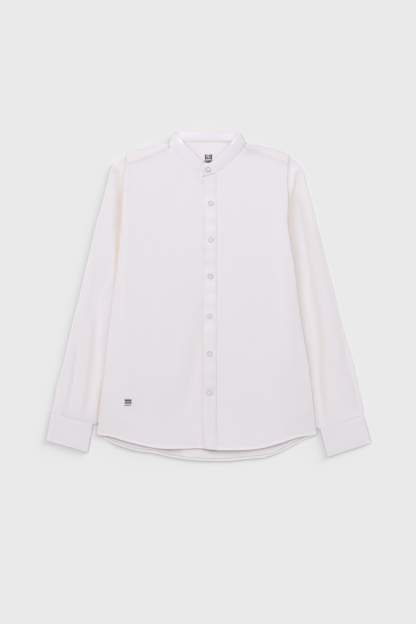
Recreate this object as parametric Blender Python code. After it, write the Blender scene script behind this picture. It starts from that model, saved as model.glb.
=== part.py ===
"""A men's long-sleeved shirt with a mandarin collar, buttoned up and laid flat on its back.

Every piece of cloth is a thin closed wall: the middle surface of the cloth is worked out from the
tables below, in millimetres, and thickened both ways. +X is the wearer's left, +Y points to the
collar and +Z up; the underside rests on Z = 0. The body lies over the inner part of both sleeves.
"""
import math
from collections import namedtuple

import bpy
import bmesh

MM = 0.001

# Cloth
PLAIN = 1.2             # one layer of shirt cloth
DOUBLED = 2.0           # collar band, cuffs and placket: two layers with interlining
SEAM_GAP = 0.3          # between pieces that meet at a seam
LAY_GAP = 0.4           # between pieces that lie on each other
SLEEVE_AIR = 0.6        # inside a sleeve where the body presses on it
CUFF_AIR = 1.2          # inside a cuff

# Heights of the middle surfaces
FLOOR_LAYER = PLAIN / 2                                     # what rests on the floor
SLEEVE_PRESSED = FLOOR_LAYER + PLAIN + SLEEVE_AIR           # upper sleeve wall below the body
SLEEVE_LOFT = 4.9                                           # upper sleeve wall in the open
BODY_OVER_SLEEVE = SLEEVE_PRESSED + PLAIN + LAY_GAP         # back and yoke where they lie on a sleeve
SIDE_FOLD_HEIGHT = 3.4                                      # back to front at the body's side folds
FRONT_LOFT = 1.0                                            # more air between them at the middle
UNDERLAP_DROP = PLAIN + LAY_GAP                             # right front below the left front
PLACKET_RISE = PLAIN / 2 + SEAM_GAP + DOUBLED / 2           # placket above the left front
CUFF_FLOOR = DOUBLED / 2                                    # lower cuff wall
CUFF_RISE = CUFF_FLOOR + DOUBLED + CUFF_AIR                 # upper cuff wall
COLLAR_BULGE = 0.8                                          # of the band between its two edges

# Widths
SIDE_FOLD_REACH = 3.2   # how far in from the edge a side fold rounds off
FoldStep = namedtuple("FoldStep", "reach lift flat")     # shares of the reach and of the height,
SIDE_FOLD = (                                           # and of the reach where it isn't folded
    FoldStep(0.0, 0.0, 0.0),
    FoldStep(0.0, 0.32, 0.2),
    FoldStep(0.3, 0.74, 0.5),
    FoldStep(1.0, 1.0, 1.0),
    FoldStep(2.6, 1.0, 2.6),
)
SHOULDER_ROUNDING = 2.4
TUBE_FOLD_REACH = 3.0   # how far in a sleeve's or a cuff's fold rounds off
HIDDEN_FOLD_REACH = 1.6                                     # the same below the body
LEAST_SHOWING = 8.0     # of a sleeve's upper side before it goes below the body
BODY_CLEARANCE = 2.0    # a sleeve starts to swell this far outside the body's edge
LOFT_REACH = 40.0       # how far in from the edge the front has all its loft
FOLD_FADE = 20.0        # how far in from the edge a front's folds have all their height
SLEEVE_FOLD_FADE = 8.0  # how far past its valley a sleeve's folds have all their height
YOKE_FOLD_RISE = 20.0   # length over which the yoke's edge rounds up below the armhole's top
YOKE_FRONT_GAP = SEAM_GAP + 0.1                             # yoke to front along their seam
PLACKET_WIDTH = 30.0
PLACKET_EDGE = -13.0    # x of the placket's free edge
PLACKET_MARGIN = 4.0    # kept clear of the front's other columns
UNDERLAP_EDGE = 14.0    # x of the right front's hidden edge
UNDERLAP_SLOPE = (-48.0, -22.0)     # x between which the right front dips below the left one
SLOPE_START = 52.0      # the body starts to rise this far inside a sleeve's hidden edge
SLOPE_END = 24.0        # and is at its full height here
CUFF_DEPTH = 65.0

# Body outline: the side edges
BodyRow = namedtuple("BodyRow", "y left right")
BODY = (
    BodyRow(320, -186.5, 181.5),
    BodyRow(303, -187, 180.5),
    BodyRow(268, -190.5, 179),
    BodyRow(222, -194.5, 181),
    BodyRow(171, -200, 180),
    BodyRow(130, -205, 185),
    BodyRow(80, -209, 194),
    BodyRow(16, -217, 202),
    BodyRow(-74, -229, 214),
    BodyRow(-165, -238, 229),
    BodyRow(-233, -248, 237),
    BodyRow(-312, -254, 246),
)

# Lines across the body: x and y of each point
Point = namedtuple("Point", "x y")
RIGHT_YOKE_SEAM = (     # top of the right front, from the armhole to the neck
    Point(-187, 303), Point(-172, 307), Point(-157, 311), Point(-140, 317.5), Point(-123, 325),
    Point(-109, 331.5), Point(-94, 338.8),
)
RIGHT_NECK_SEAM = (     # and on to its hidden edge
    Point(-82, 329.5), Point(-70, 320.8), Point(-55, 306.8), Point(-42, 294.5), Point(-28, 285.3),
    Point(-16, 279.3), Point(0, 275.8), Point(14, 275),
)
LEFT_YOKE_SEAM = (      # top of the left front, from the armhole to the neck
    Point(180.5, 303), Point(168.5, 308), Point(157, 312.4), Point(141, 318.5), Point(122, 325.5),
    Point(103, 333.5), Point(82, 336),
)
LEFT_NECK_SEAM = (      # and on to the placket's edge
    Point(73, 327.4), Point(62, 315.2), Point(51, 304.8), Point(36, 291.3), Point(17, 280),
    Point(2, 275.5), Point(-13, 271.2),
)
FRONT_HEM = (
    Point(-254, -312.5), Point(-224, -316), Point(-190, -326), Point(-156, -334.5), Point(-122, -341.5),
    Point(-88, -344.3), Point(-42, -343), Point(-16, -343), Point(2, -346), Point(48, -347),
    Point(94, -345.5), Point(128, -340.5), Point(162, -331), Point(207, -317), Point(246, -312.5),
)
BACK_HEM = (
    Point(-254, -312.5), Point(-224, -329), Point(-190, -342.5), Point(-162, -350), Point(-122, -355),
    Point(-88, -363.4), Point(-2, -372.5), Point(48, -372.3), Point(94, -367.5), Point(128, -364),
    Point(150, -357.5), Point(185, -341), Point(219, -323.5), Point(246, -312.5),
)
BACK_YOKE_SEAM = (
    Point(-190, 236), Point(-120, 247), Point(0, 252), Point(110, 247), Point(180, 236),
)

# Heights up the body at which the side edges of the fronts, the back and the yoke have a row
SIDE_LEVELS = (303, 280, 258, 236, 205, 170, 130, 88, 45, 0, -45, -90, -130, -168, -202, -230,
               -254, -274, -290, -302, -312.5)
YOKE_LEVEL = 3          # the row at which the yoke's back seam reaches the side edges

# Yoke: the fold of each shoulder, from the armhole to the neck, above the points of the yoke seam
RIGHT_SHOULDER = (
    Point(-186.5, 322.5), Point(-171, 328), Point(-156, 332.5), Point(-139, 338), Point(-122, 343.5),
    Point(-108, 347), Point(-96, 348.8),
)
BACK_NECK = (           # neck seam between the shoulders
    Point(-82, 347.5), Point(-58, 349), Point(-30, 350), Point(-2, 350.5), Point(26, 350),
    Point(52, 349.2), Point(74, 347.5),
)
LEFT_SHOULDER = (
    Point(181.5, 321.5), Point(169, 326.5), Point(157, 330.8), Point(142, 335.5), Point(124, 340.7),
    Point(106, 345.2), Point(88, 348.3),
)

# Sleeves, from below the yoke to the cuff seam: outer fold, hidden inner fold, width of the
# valley between the body's edge and the sleeve's crown
SleeveRow = namedtuple("SleeveRow", "outer_x outer_y inner_x inner_y valley")
RIGHT_SLEEVE = (
    SleeveRow(-176, 317, -104, 104, 4),
    SleeveRow(-187.3, 319.5, -104, 96, 4),
    SleeveRow(-203, 312.5, -104.5, 86, 5),
    SleeveRow(-217, 300, -106, 75, 7),
    SleeveRow(-228, 264, -110, 58, 12),
    SleeveRow(-242, 210, -117, 35, 18),
    SleeveRow(-258, 153, -126, 8, 18),
    SleeveRow(-269, 104, -136, -20, 16),
    SleeveRow(-290, 14, -157, -65, 10),
    SleeveRow(-312, -74, -186, -115, 7),
    SleeveRow(-329, -151, -212, -170, 6),
    SleeveRow(-343, -199, -232, -216, 6),
    SleeveRow(-351, -246, -253, -266, 6),
    SleeveRow(-357, -261, -261, -288, 6),
)
LEFT_SLEEVE = (
    SleeveRow(171, 315, 100, 104, 4),
    SleeveRow(182.3, 318.5, 100, 96, 4),
    SleeveRow(200, 303.5, 100, 86, 5),
    SleeveRow(212, 289.5, 101, 75, 7),
    SleeveRow(220, 263, 103, 58, 10),
    SleeveRow(235, 206, 108, 35, 14),
    SleeveRow(250, 146, 116, 8, 16),
    SleeveRow(264, 90, 126, -20, 16),
    SleeveRow(285, 8, 146, -65, 14),
    SleeveRow(305, -76, 170, -115, 12),
    SleeveRow(324, -137, 196, -172, 10),
    SleeveRow(338, -197, 218, -222, 8),
    SleeveRow(350, -250, 243, -276, 7),
    SleeveRow(352, -267, 252, -300, 7),
)
RIGHT_CUFF_TURN = math.radians(-10.5)    # lean of each cuff's length from -Y
LEFT_CUFF_TURN = math.radians(15.5)

# Collar band, from the under end at the centre front, round the back to the over end
CollarRow = namedtuple("CollarRow", "seam_x seam_y seam_z edge_x edge_y edge_z")
COLLAR = (
    CollarRow(14, 278, 2.9, 15, 303, 6.2),
    CollarRow(-1, 278.5, 2.9, 1, 303.5, 6.6),
    CollarRow(-15, 281.5, 3.3, -8, 305, 6.9),
    CollarRow(-28, 287.2, 4.2, -14, 307.5, 9.6),
    CollarRow(-41.5, 296.4, 5, -23, 316.5, 13.5),
    CollarRow(-54.5, 308.8, 5.2, -35, 328.5, 15.5),
    CollarRow(-68.5, 322, 5.3, -49.5, 341, 16),
    CollarRow(-82, 333.2, 5.3, -59.5, 353, 15.5),
    CollarRow(-90.6, 340.6, 5.2, -69, 363.5, 15),
    CollarRow(-92.2, 344.6, 4.9, -75.2, 369.8, 14.4),
    CollarRow(-91.4, 348.2, 4, -76.6, 372.4, 12.6),
    CollarRow(-87, 350.4, 3, -72.6, 373.3, 11.2),
    CollarRow(-75, 351, 2.3, -65, 373.4, 12.8),
    CollarRow(-55, 351.3, 1.9, -50, 373.5, 17),
    CollarRow(-28, 351.7, 1.7, -26, 373.6, 20.5),
    CollarRow(-2, 352, 1.7, -2.5, 373.7, 21.8),
    CollarRow(24, 351.7, 1.7, 21, 373.6, 20.5),
    CollarRow(49, 351.2, 1.9, 44, 373.5, 17),
    CollarRow(69, 350.4, 2.3, 59, 373.5, 12.8),
    CollarRow(80.5, 349.4, 3, 66.4, 373.4, 11.2),
    CollarRow(84.6, 347, 4, 70.4, 372.4, 12.6),
    CollarRow(84, 343.4, 4.9, 69, 369.6, 14.4),
    CollarRow(80.6, 338.6, 5.4, 62, 362.5, 15),
    CollarRow(71.8, 329.2, 5.6, 51, 351, 15.5),
    CollarRow(61, 317.2, 5.8, 41.5, 338.5, 15.5),
    CollarRow(50, 306.8, 5.9, 32.5, 328.5, 15),
    CollarRow(35.3, 293.1, 6, 20, 317.5, 13),
    CollarRow(20, 283, 6.1, 10, 309, 11.2),
    CollarRow(4, 278.2, 6.2, -1, 302.5, 10.4),
    CollarRow(-11.5, 273.4, 6.2, -10.5, 298.5, 10.3),
)

# Soft folds laid over the cloth: a straight run, its width, and its height (below 0 a trough)
Fold = namedtuple("Fold", "x1 y1 x2 y2 width height")
RIGHT_SLEEVE_FOLDS = (
    Fold(-299, -109, -325, -267, 11, -0.8),
    Fold(-260, -40, -283, -276, 10, -0.8),
    Fold(-241, -10, -262, -270, 9, 0.3),
)
LEFT_SLEEVE_FOLDS = (
    Fold(246, 168, 298, -68, 8, -0.7),
    Fold(298, -68, 345, -266, 8, -0.8),
    Fold(200, 252, 226, 98, 9, -0.9),
    Fold(232, 60, 256, -150, 10, -1.0),
)
FRONT_FOLDS = (
    Fold(-179, 205, -190, -90, 14, 0.4),
    Fold(148, 260, 170, -120, 16, 0.4),
    Fold(-28, -70, -62, -250, 16, -0.4),
    Fold(-230, -250, -120, -290, 26, 0.3),
    Fold(150, -236, 230, -240, 12, -0.3),
)

# Hard and small pieces
ProfileRow = namedtuple("ProfileRow", "radius height")
BUTTON_PROFILE = (      # from the underside, round the edge to the rim and down into the dish
    ProfileRow(4.3, 0.0),
    ProfileRow(5.5, 0.9),
    ProfileRow(5.5, 1.5),
    ProfileRow(4.6, 2.4),
    ProfileRow(3.6, 1.7),
)
BUTTON_SIDES = 16
BUTTON_SHARP_EDGE = math.radians(35)
PLACKET_BUTTONS = (
    Point(4.3, 213), Point(4.3, 130), Point(3.4, 47), Point(1.1, -42), Point(1.4, -128), Point(0.9, -216),
)
COLLAR_BUTTON = Point(-2.5, 289.5)
COLLAR_BUTTON_HEIGHT = 9.2              # middle of the band below it
COLLAR_BUTTON_TILT = math.radians(9.7)
PATCH_CENTRE = Point(-183.5, -238)
PATCH_SIDE = 26.0
PATCH_THICKNESS = 1.0
PATCH_GAP = 0.7
SLEEVE_PLACKET_THICKNESS = 1.0

# Mesh density
BACK_COLUMNS = 20
BACK_MARGIN = 0.04      # share of the back's width left to the side folds' own columns
TUBE_STEPS = 5          # across the lower side of a sleeve, and each side of a cuff
HIDDEN_STEPS = 3        # across a sleeve's upper side below the body
OPEN_STEPS = 8          # across its upper side in the open
CUFF_ROWS = 3           # along a cuff
EDGE_TURNS = (50, 0, -50)               # degrees round the fold of a sleeve or a cuff
SHOULDER_TURNS = (-90, -45, 0, 45, 90)  # degrees round the fold of a shoulder
SLEEVE_PLACKET_ROWS = 3                 # last sections of the sleeve that its placket lies on
SLEEVE_PLACKET_POINTS = 3               # points of each section, next to the outer fold's own
COLLAR_RISE_STEPS = 4
COLLAR_HALF_STEPS = 2 * (len(COLLAR) - 1)
SLEEVE_CAP_ROWS = 3     # rows of a sleeve's table drawn as they are; the rest have a ring between

Finish = namedtuple("Finish", "name colour roughness")
SHIRT_CLOTH = Finish("shirt_cloth", (0.80, 0.76, 0.78, 1.0), 0.85)
INTERLINED_CLOTH = Finish("interlined_cloth", (0.78, 0.76, 0.82, 1.0), 0.8)
BUTTON_RESIN = Finish("button_resin", (0.78, 0.72, 0.71, 1.0), 0.3)
PATCH_CLOTH = Finish("patch_cloth", (0.75, 0.73, 0.76, 1.0), 0.8)


def clear_scene():
    for item in list(bpy.data.objects):
        bpy.data.objects.remove(item, do_unlink=True)


def make_material(finish):
    made = bpy.data.materials.new(finish.name)
    made.use_nodes = True
    shader = made.node_tree.nodes["Principled BSDF"]
    shader.inputs["Base Color"].default_value = finish.colour
    shader.inputs["Roughness"].default_value = finish.roughness
    shader.inputs["Metallic"].default_value = 0.0
    return made


def mix(a, b, share):
    return a + (b - a) * share


def ease(value):
    """0 below 0, 1 above 1, with a smooth slope between."""
    value = min(max(value, 0.0), 1.0)
    return value * value * (3.0 - 2.0 * value)


def read_table(rows, key, value, at):
    """Straight-line reading of one column of a table against another."""
    ordered = sorted(rows, key=lambda row: getattr(row, key))
    if at <= getattr(ordered[0], key):
        return getattr(ordered[0], value)
    for low, high in zip(ordered, ordered[1:]):
        top = getattr(high, key)
        if at <= top:
            bottom = getattr(low, key)
            return mix(getattr(low, value), getattr(high, value), (at - bottom) / (top - bottom))
    return getattr(ordered[-1], value)


def smooth_row(rows, station):
    """A row between the rows of a table, on a smooth curve through them; station counts rows."""
    index = min(int(station), len(rows) - 2)
    t = station - index
    before = rows[max(index - 1, 0)]
    here = rows[index]
    there = rows[index + 1]
    after = rows[min(index + 2, len(rows) - 1)]
    values = []
    for a, b, c, d in zip(before, here, there, after):
        values.append(0.5 * (2 * b + (c - a) * t + (2 * a - 5 * b + 4 * c - d) * t * t
                             + (3 * b - a - 3 * c + d) * t ** 3))
    return type(here)(*values)


def left_edge(y):
    return read_table(BODY, "y", "left", y)


def right_edge(y):
    return read_table(BODY, "y", "right", y)


def inside_line(x, y, a, b):
    """Signed distance of a point from the line a to b; positive on the line's left."""
    dx = b.x - a.x
    dy = b.y - a.y
    return (dx * (y - a.y) - dy * (x - a.x)) / math.hypot(dx, dy)


def over_sleeve(x, y):
    """1 where the body lies on a sleeve, 0 where it lies on the floor, and a slope between."""
    share = 0.0
    for rows, side in ((RIGHT_SLEEVE, 1.0), (LEFT_SLEEVE, -1.0)):
        armhole = Point(rows[1].outer_x, rows[1].outer_y)
        underarm = Point(rows[1].inner_x, rows[1].inner_y)
        cuff = Point(rows[-1].inner_x, rows[-1].inner_y)
        depth = min(-side * inside_line(x, y, armhole, underarm),
                    -side * inside_line(x, y, underarm, cuff))
        rise = ease((depth + SLOPE_START) / (SLOPE_START - SLOPE_END))
        fade = ease((y - cuff.y + SLOPE_END) / SLOPE_END)
        share = max(share, rise * fade)
    return share


def fold_height(folds, x, y):
    """What the soft folds add to a height: each fades out to its sides and ends."""
    total = 0.0
    for fold in folds:
        dx = fold.x2 - fold.x1
        dy = fold.y2 - fold.y1
        length = math.hypot(dx, dy)
        run = ((x - fold.x1) * dx + (y - fold.y1) * dy) / length
        away = ((x - fold.x1) * dy - (y - fold.y1) * dx) / length
        past_end = max(-run, run - length, 0.0)
        total += fold.height * math.exp(-(away / fold.width) ** 2 - (past_end / (2 * fold.width)) ** 2)
    return total


def back_height(x, y):
    return mix(FLOOR_LAYER, BODY_OVER_SLEEVE, over_sleeve(x, y))


def front_height(x, y):
    share = over_sleeve(x, y)
    edge = min(x - left_edge(y), right_edge(y) - x)
    loft = FRONT_LOFT * (1.0 - share) * ease(edge / LOFT_REACH)
    folds = fold_height(FRONT_FOLDS, x, y) * ease(edge / FOLD_FADE)
    return back_height(x, y) + SIDE_FOLD_HEIGHT + loft + folds


def right_front_dip(x):
    """How far the right front lies below the left front's height, so that it passes below it."""
    start, end = UNDERLAP_SLOPE
    return UNDERLAP_DROP * ease((x - start) / (end - start))


def side_fold(upper, lower, lift):
    """Height of the upper wall in a side fold, from the seam half way (lift 0) to its own height."""
    seam = (upper + lower) / 2 + SEAM_GAP / 2
    return mix(seam, upper, lift)


def cloth(name, rows, thickness, material, closed=False, keep=None):
    """One piece of cloth: faces between rows of middle-surface points, thickened both ways."""
    grid = bmesh.new()
    points = [[grid.verts.new((x * MM, y * MM, z * MM)) for x, y, z in row] for row in rows]
    across = len(rows[0])
    for i in range(len(rows) - 1):
        for j in range(across if closed else across - 1):
            if keep and not keep(i, j):
                continue
            k = (j + 1) % across
            grid.faces.new((points[i][j], points[i][k], points[i + 1][k], points[i + 1][j]))
    bmesh.ops.delete(grid, geom=[v for v in grid.verts if not v.link_faces], context="VERTS")
    bmesh.ops.recalc_face_normals(grid, faces=grid.faces)
    mesh = bpy.data.meshes.new(name)
    grid.to_mesh(mesh)
    grid.free()
    mesh.shade_smooth()
    mesh.materials.append(material)
    piece = bpy.data.objects.new(name, mesh)
    bpy.context.scene.collection.objects.link(piece)
    wall = piece.modifiers.new("wall", "SOLIDIFY")
    wall.thickness = thickness * MM
    wall.offset = 0.0
    wall.use_rim = True


def span(start, end, count):
    """Evenly spaced values from start to end, without the start."""
    return [mix(start, end, n / count) for n in range(1, count + 1)]


def fold_arc(inset, lower, upper, turns):
    """Round a tube's fold: each point's distance in from the fold's outer edge, and its height."""
    middle = (lower + upper) / 2
    arc = []
    for angle in (math.radians(turn) for turn in turns):
        arc.append((inset + TUBE_FOLD_REACH * (1.0 - math.cos(angle)),
                    middle + (upper - middle) * math.sin(angle)))
    return arc


# A line of points up a panel: its distance in from a side edge, or its share of the way to the
# other edge, or its distance back from that edge; and how far it is through the side fold
Column = namedtuple("Column", "kind value lift")


def fold_columns(folded=1.0):
    """The lines through a side fold; folded is 0 where the edge lies flat."""
    return [Column("inset", PLAIN / 2 + SIDE_FOLD_REACH * mix(step.flat, step.reach, folded),
                   mix(1.0, step.lift, folded)) for step in SIDE_FOLD]


def column_x(column, edge, free_edge):
    inward = 1.0 if free_edge > edge else -1.0
    if column.kind == "inset":
        return edge + inward * column.value
    if column.kind == "outset":
        return free_edge - inward * column.value
    return mix(edge, free_edge, column.value)


def level_shares(first, last):
    """Where the rows of a piece lie between its top (0) and its foot (1)."""
    levels = SIDE_LEVELS[first:last]
    return [(levels[0] - level) / (levels[0] - levels[-1]) for level in levels]


def front_rows(top, edge_of, free_edge, columns, dip=None):
    """One front: columns from the side fold to the free edge, rows from the seams to the hem."""
    edge_top = edge_of(SIDE_LEVELS[0])
    edge_hem = edge_of(SIDE_LEVELS[-1])
    rows = []
    for share in level_shares(0, None):
        row = []
        for column in columns:
            y_top = read_table(top, "x", "y", column_x(column, edge_top, free_edge))
            y_hem = read_table(FRONT_HEM, "x", "y", column_x(column, edge_hem, free_edge))
            y = mix(y_top, y_hem, share)
            x = column_x(column, edge_of(y), free_edge)
            z = front_height(x, y) - (dip(x) if dip else 0.0)
            row.append((x, y, side_fold(z, back_height(x, y), column.lift)))
        rows.append(row)
    return rows


def seam_columns(seam, edge, free_edge, strip=0.0):
    """A column for each point of a front's top seam, short of a strip along the free edge."""
    found = []
    for point in seam:
        if abs(point.x - free_edge) >= strip:
            found.append(Column("share", (point.x - edge) / (free_edge - edge), 1.0))
    return found


def make_front_right(material):
    top = RIGHT_YOKE_SEAM + RIGHT_NECK_SEAM
    columns = fold_columns()
    columns += seam_columns(top[1:], left_edge(SIDE_LEVELS[0]), UNDERLAP_EDGE)
    rows = front_rows(top, left_edge, UNDERLAP_EDGE, columns, right_front_dip)
    cloth("front_right", rows, PLAIN, material)


def make_front_left(material):
    """The left front; its rows are what the placket is made from."""
    top = LEFT_YOKE_SEAM + LEFT_NECK_SEAM
    strip = PLACKET_WIDTH + PLACKET_MARGIN
    columns = fold_columns()
    columns += seam_columns(top[1:], right_edge(SIDE_LEVELS[0]), PLACKET_EDGE, strip)
    for back_from_edge in (PLACKET_WIDTH, PLACKET_WIDTH / 2, 0.0):
        columns.append(Column("outset", back_from_edge, 1.0))
    rows = front_rows(top, right_edge, PLACKET_EDGE, columns)
    cloth("front_left", rows, PLAIN, material)
    return rows


def make_placket(left_rows, material):
    """The strip along the left front's free edge, made from the front's own last three columns."""
    rows = [[(x, y, z + PLACKET_RISE) for x, y, z in row[-3:]] for row in left_rows]
    cloth("placket", rows, DOUBLED, material)


def back_point(x, y, lift):
    """Middle surface of the back, rounded up at the side folds to meet the front."""
    lower = back_height(x, y)
    upper = front_height(x, y)
    return (x, y, lower + upper - side_fold(upper, lower, lift) if lift < 1.0 else lower)


def make_back(material):
    columns = [(left_edge, right_edge, column) for column in fold_columns()]
    for n in range(BACK_COLUMNS + 1):
        share = mix(BACK_MARGIN, 1.0 - BACK_MARGIN, n / BACK_COLUMNS)
        columns.append((left_edge, right_edge, Column("share", share, 1.0)))
    columns += [(right_edge, left_edge, column) for column in reversed(fold_columns())]
    level_top = SIDE_LEVELS[YOKE_LEVEL]
    level_hem = SIDE_LEVELS[-1]
    rows = []
    for share in level_shares(YOKE_LEVEL, None):
        row = []
        for near, far, column in columns:
            x_top = column_x(column, near(level_top), far(level_top))
            x_hem = column_x(column, near(level_hem), far(level_hem))
            y_top = read_table(BACK_YOKE_SEAM, "x", "y", x_top) - SEAM_GAP
            y = mix(y_top, read_table(BACK_HEM, "x", "y", x_hem), share)
            row.append(back_point(column_x(column, near(y), far(y)), y, column.lift))
        rows.append(row)
    cloth("back", rows, PLAIN, material)


def yoke_column(x, shoulder, seam, seam_x=None, edge_of=None, fold_step=None):
    """One line of the yoke: up the back, over the shoulder fold and down to the front seam.

    Beside a side edge the line follows that edge as one step of the side fold, and its back part
    rounds up into the side fold as the back panel does.
    """
    def point(y, plain_x, back):
        folded = ease((SIDE_LEVELS[0] - y) / YOKE_FOLD_RISE) if back else 0.0
        if fold_step is None:
            column = Column("share", 0.0, 1.0)
            px = plain_x
        else:
            column = fold_columns(folded)[fold_step]
            px = column_x(column, edge_of(y), 0.0)
        return back_point(px, y, column.lift) if back else (px, y, front_height(px, y))

    bottom = SIDE_LEVELS[YOKE_LEVEL]
    start = read_table(BACK_YOKE_SEAM, "x", "y", point(bottom, x, True)[0])
    fold_y = read_table(shoulder, "x", "y", x) - PLAIN / 2
    full = shoulder[0].y - SHOULDER_ROUNDING - PLAIN / 2 - bottom
    line = []
    for level in reversed(SIDE_LEVELS[:YOKE_LEVEL + 1]):
        line.append(point(mix(start, fold_y - SHOULDER_ROUNDING, (level - bottom) / full), x, True))
    lower = back_height(x, fold_y - SHOULDER_ROUNDING)
    upper = front_height(x, fold_y - SHOULDER_ROUNDING)
    for angle in (math.radians(turn) for turn in SHOULDER_TURNS):
        rise = (upper + lower) / 2 + (upper - lower) / 2 * math.sin(angle)
        line.append((x, fold_y - SHOULDER_ROUNDING * (1.0 - math.cos(angle)), rise))
    seam_x = x if seam_x is None else seam_x
    seam_y = read_table(seam, "x", "y", point(seam[0].y, seam_x, False)[0]) + YOKE_FRONT_GAP
    for share in (0.5, 1.0):
        line.append(point(mix(fold_y - SHOULDER_ROUNDING, seam_y, share), mix(x, seam_x, share), False))
    return line


def shoulder_columns(shoulder, seam, edge_of):
    """The yoke's lines from an armhole to the neck: first the side fold, then one for each point."""
    lines = []
    for step, column in enumerate(fold_columns(0.0)):
        x = column_x(column, edge_of(shoulder[0].y), 0.0)
        lines.append(yoke_column(x, shoulder, seam, edge_of=edge_of, fold_step=step))
    for fold, point in list(zip(shoulder, seam))[1:]:
        lines.append(yoke_column(fold.x, shoulder, seam, seam_x=point.x))
    return lines


def neck_column(point, length):
    """One line of the yoke between the shoulders, up the back to the neck seam."""
    start = read_table(BACK_YOKE_SEAM, "x", "y", point.x)
    line = []
    for n in range(YOKE_LEVEL + 2):
        y = mix(start, point.y, n / (YOKE_LEVEL + 1))
        line.append((point.x, y, back_height(point.x, y)))
    return line + [line[-1]] * (length - len(line))


def make_yoke(material):
    right_side = shoulder_columns(RIGHT_SHOULDER, RIGHT_YOKE_SEAM, left_edge)
    left_side = shoulder_columns(LEFT_SHOULDER, LEFT_YOKE_SEAM, right_edge)
    middle = [neck_column(point, len(right_side[0])) for point in BACK_NECK]
    columns = right_side + middle + left_side[::-1]
    first_neck = len(right_side) - 1
    last_neck = first_neck + len(middle)

    def keep(i, j):
        return j <= YOKE_LEVEL or i < first_neck or i > last_neck
    cloth("yoke", columns, PLAIN, material, keep=keep)


def upper_sleeve_height(x, y, side, valley, folds):
    outside = left_edge(y) - x if side < 0 else x - right_edge(y)
    rise = ease((outside - BODY_CLEARANCE) / valley)
    showing = ease((outside - valley) / SLEEVE_FOLD_FADE)
    return mix(SLEEVE_PRESSED, SLEEVE_LOFT + fold_height(folds, x, y) * showing, rise)


def body_crossing(row, side):
    """Share of the way from the outer to the inner fold at which a sleeve goes below the body."""
    low = 0.0
    high = 1.0
    for _ in range(30):
        share = (low + high) / 2
        x = mix(row.outer_x, row.inner_x, share)
        y = mix(row.outer_y, row.inner_y, share)
        outside = left_edge(y) - x if side < 0 else x - right_edge(y)
        if outside > BODY_CLEARANCE:
            low = share
        else:
            high = share
    return low


def sleeve_ring(row, side, folds):
    """A section of a sleeve: along the floor to the hidden fold, back along the top, round the edge."""
    length = math.hypot(row.inner_x - row.outer_x, row.inner_y - row.outer_y)
    edge = (TUBE_FOLD_REACH + PLAIN / 2) / length
    hidden_edge = (HIDDEN_FOLD_REACH + PLAIN / 2) / length
    crossing = max(body_crossing(row, side), LEAST_SHOWING / length)
    crossing = min(crossing, 1.0 - 2 * hidden_edge)

    def place(share, z):
        return (mix(row.outer_x, row.inner_x, share), mix(row.outer_y, row.inner_y, share), z)

    def upper(share):
        x, y, _ = place(share, 0.0)
        return upper_sleeve_height(x, y, side, row.valley, folds)

    across = [edge] + span(edge, 1.0 - hidden_edge, TUBE_STEPS)
    back_across = [1.0 - hidden_edge] + span(1.0 - hidden_edge, crossing, HIDDEN_STEPS)
    back_across += span(crossing, edge, OPEN_STEPS)
    ring = [place(share, FLOOR_LAYER) for share in across]
    ring.append(place(1.0 - PLAIN / 2 / length, (FLOOR_LAYER + upper(1.0)) / 2))
    ring += [place(share, upper(share)) for share in back_across]
    for inset, z in fold_arc(PLAIN / 2, FLOOR_LAYER, upper(edge), EDGE_TURNS):
        ring.append(place(inset / length, z))
    return ring


def make_sleeve(name, table, side, folds, material):
    stations = list(range(SLEEVE_CAP_ROWS))
    stations += [n / 2 for n in range(2 * SLEEVE_CAP_ROWS, 2 * len(table) - 1)]
    rings = [sleeve_ring(smooth_row(table, station), side, folds) for station in stations]
    cloth(name, rings, PLAIN, material, closed=True)
    return rings


def make_sleeve_placket(name, rings, material):
    """The short end of the sleeve opening's strip, on the sleeve's upper side by its outer fold."""
    rise = PLAIN / 2 + SEAM_GAP + SLEEVE_PLACKET_THICKNESS / 2
    last = -len(EDGE_TURNS)
    first = last - SLEEVE_PLACKET_POINTS
    rows = []
    for ring in rings[-SLEEVE_PLACKET_ROWS:]:
        rows.append([(x, y, z + rise) for x, y, z in ring[first:last]])
    cloth(name, rows, SLEEVE_PLACKET_THICKNESS, material)


def make_cuff(name, seam_row, turn, material):
    """A flattened tube of doubled cloth that carries on from the sleeve's last section."""
    inset = DOUBLED / 2
    width = math.hypot(seam_row.inner_x - seam_row.outer_x, seam_row.inner_y - seam_row.outer_y)
    start = inset + TUBE_FOLD_REACH
    across = [start] + span(start, width - start, TUBE_STEPS)
    outer_fold = fold_arc(inset, CUFF_FLOOR, CUFF_RISE, EDGE_TURNS)
    section = [(d, CUFF_FLOOR) for d in across]
    section += [(width - d, z) for d, z in reversed(outer_fold)]
    section += [(d, CUFF_RISE) for d in reversed(across)]
    section += outer_fold
    ux = (seam_row.inner_x - seam_row.outer_x) / width
    uy = (seam_row.inner_y - seam_row.outer_y) / width
    rings = []
    for depth in [SEAM_GAP] + span(0.0, CUFF_DEPTH, CUFF_ROWS):
        start_x = seam_row.outer_x + math.sin(turn) * depth
        start_y = seam_row.outer_y - math.cos(turn) * depth
        rings.append([(start_x + ux * d, start_y + uy * d, z) for d, z in section])
    cloth(name, rings, DOUBLED, material, closed=True)


def make_collar(material):
    """The standing band: each column goes from the neck seam to the band's upper edge."""
    rows = []
    for step in range(COLLAR_HALF_STEPS + 1):
        row = smooth_row(COLLAR, step / 2)
        column = []
        for n in range(COLLAR_RISE_STEPS + 1):
            share = n / COLLAR_RISE_STEPS
            bulge = COLLAR_BULGE * math.sin(math.pi * share)
            column.append((mix(row.seam_x, row.edge_x, share), mix(row.seam_y, row.edge_y, share),
                           mix(row.seam_z, row.edge_z, share) + bulge))
        rows.append(column)
    cloth("collar", rows, DOUBLED, material)


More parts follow.
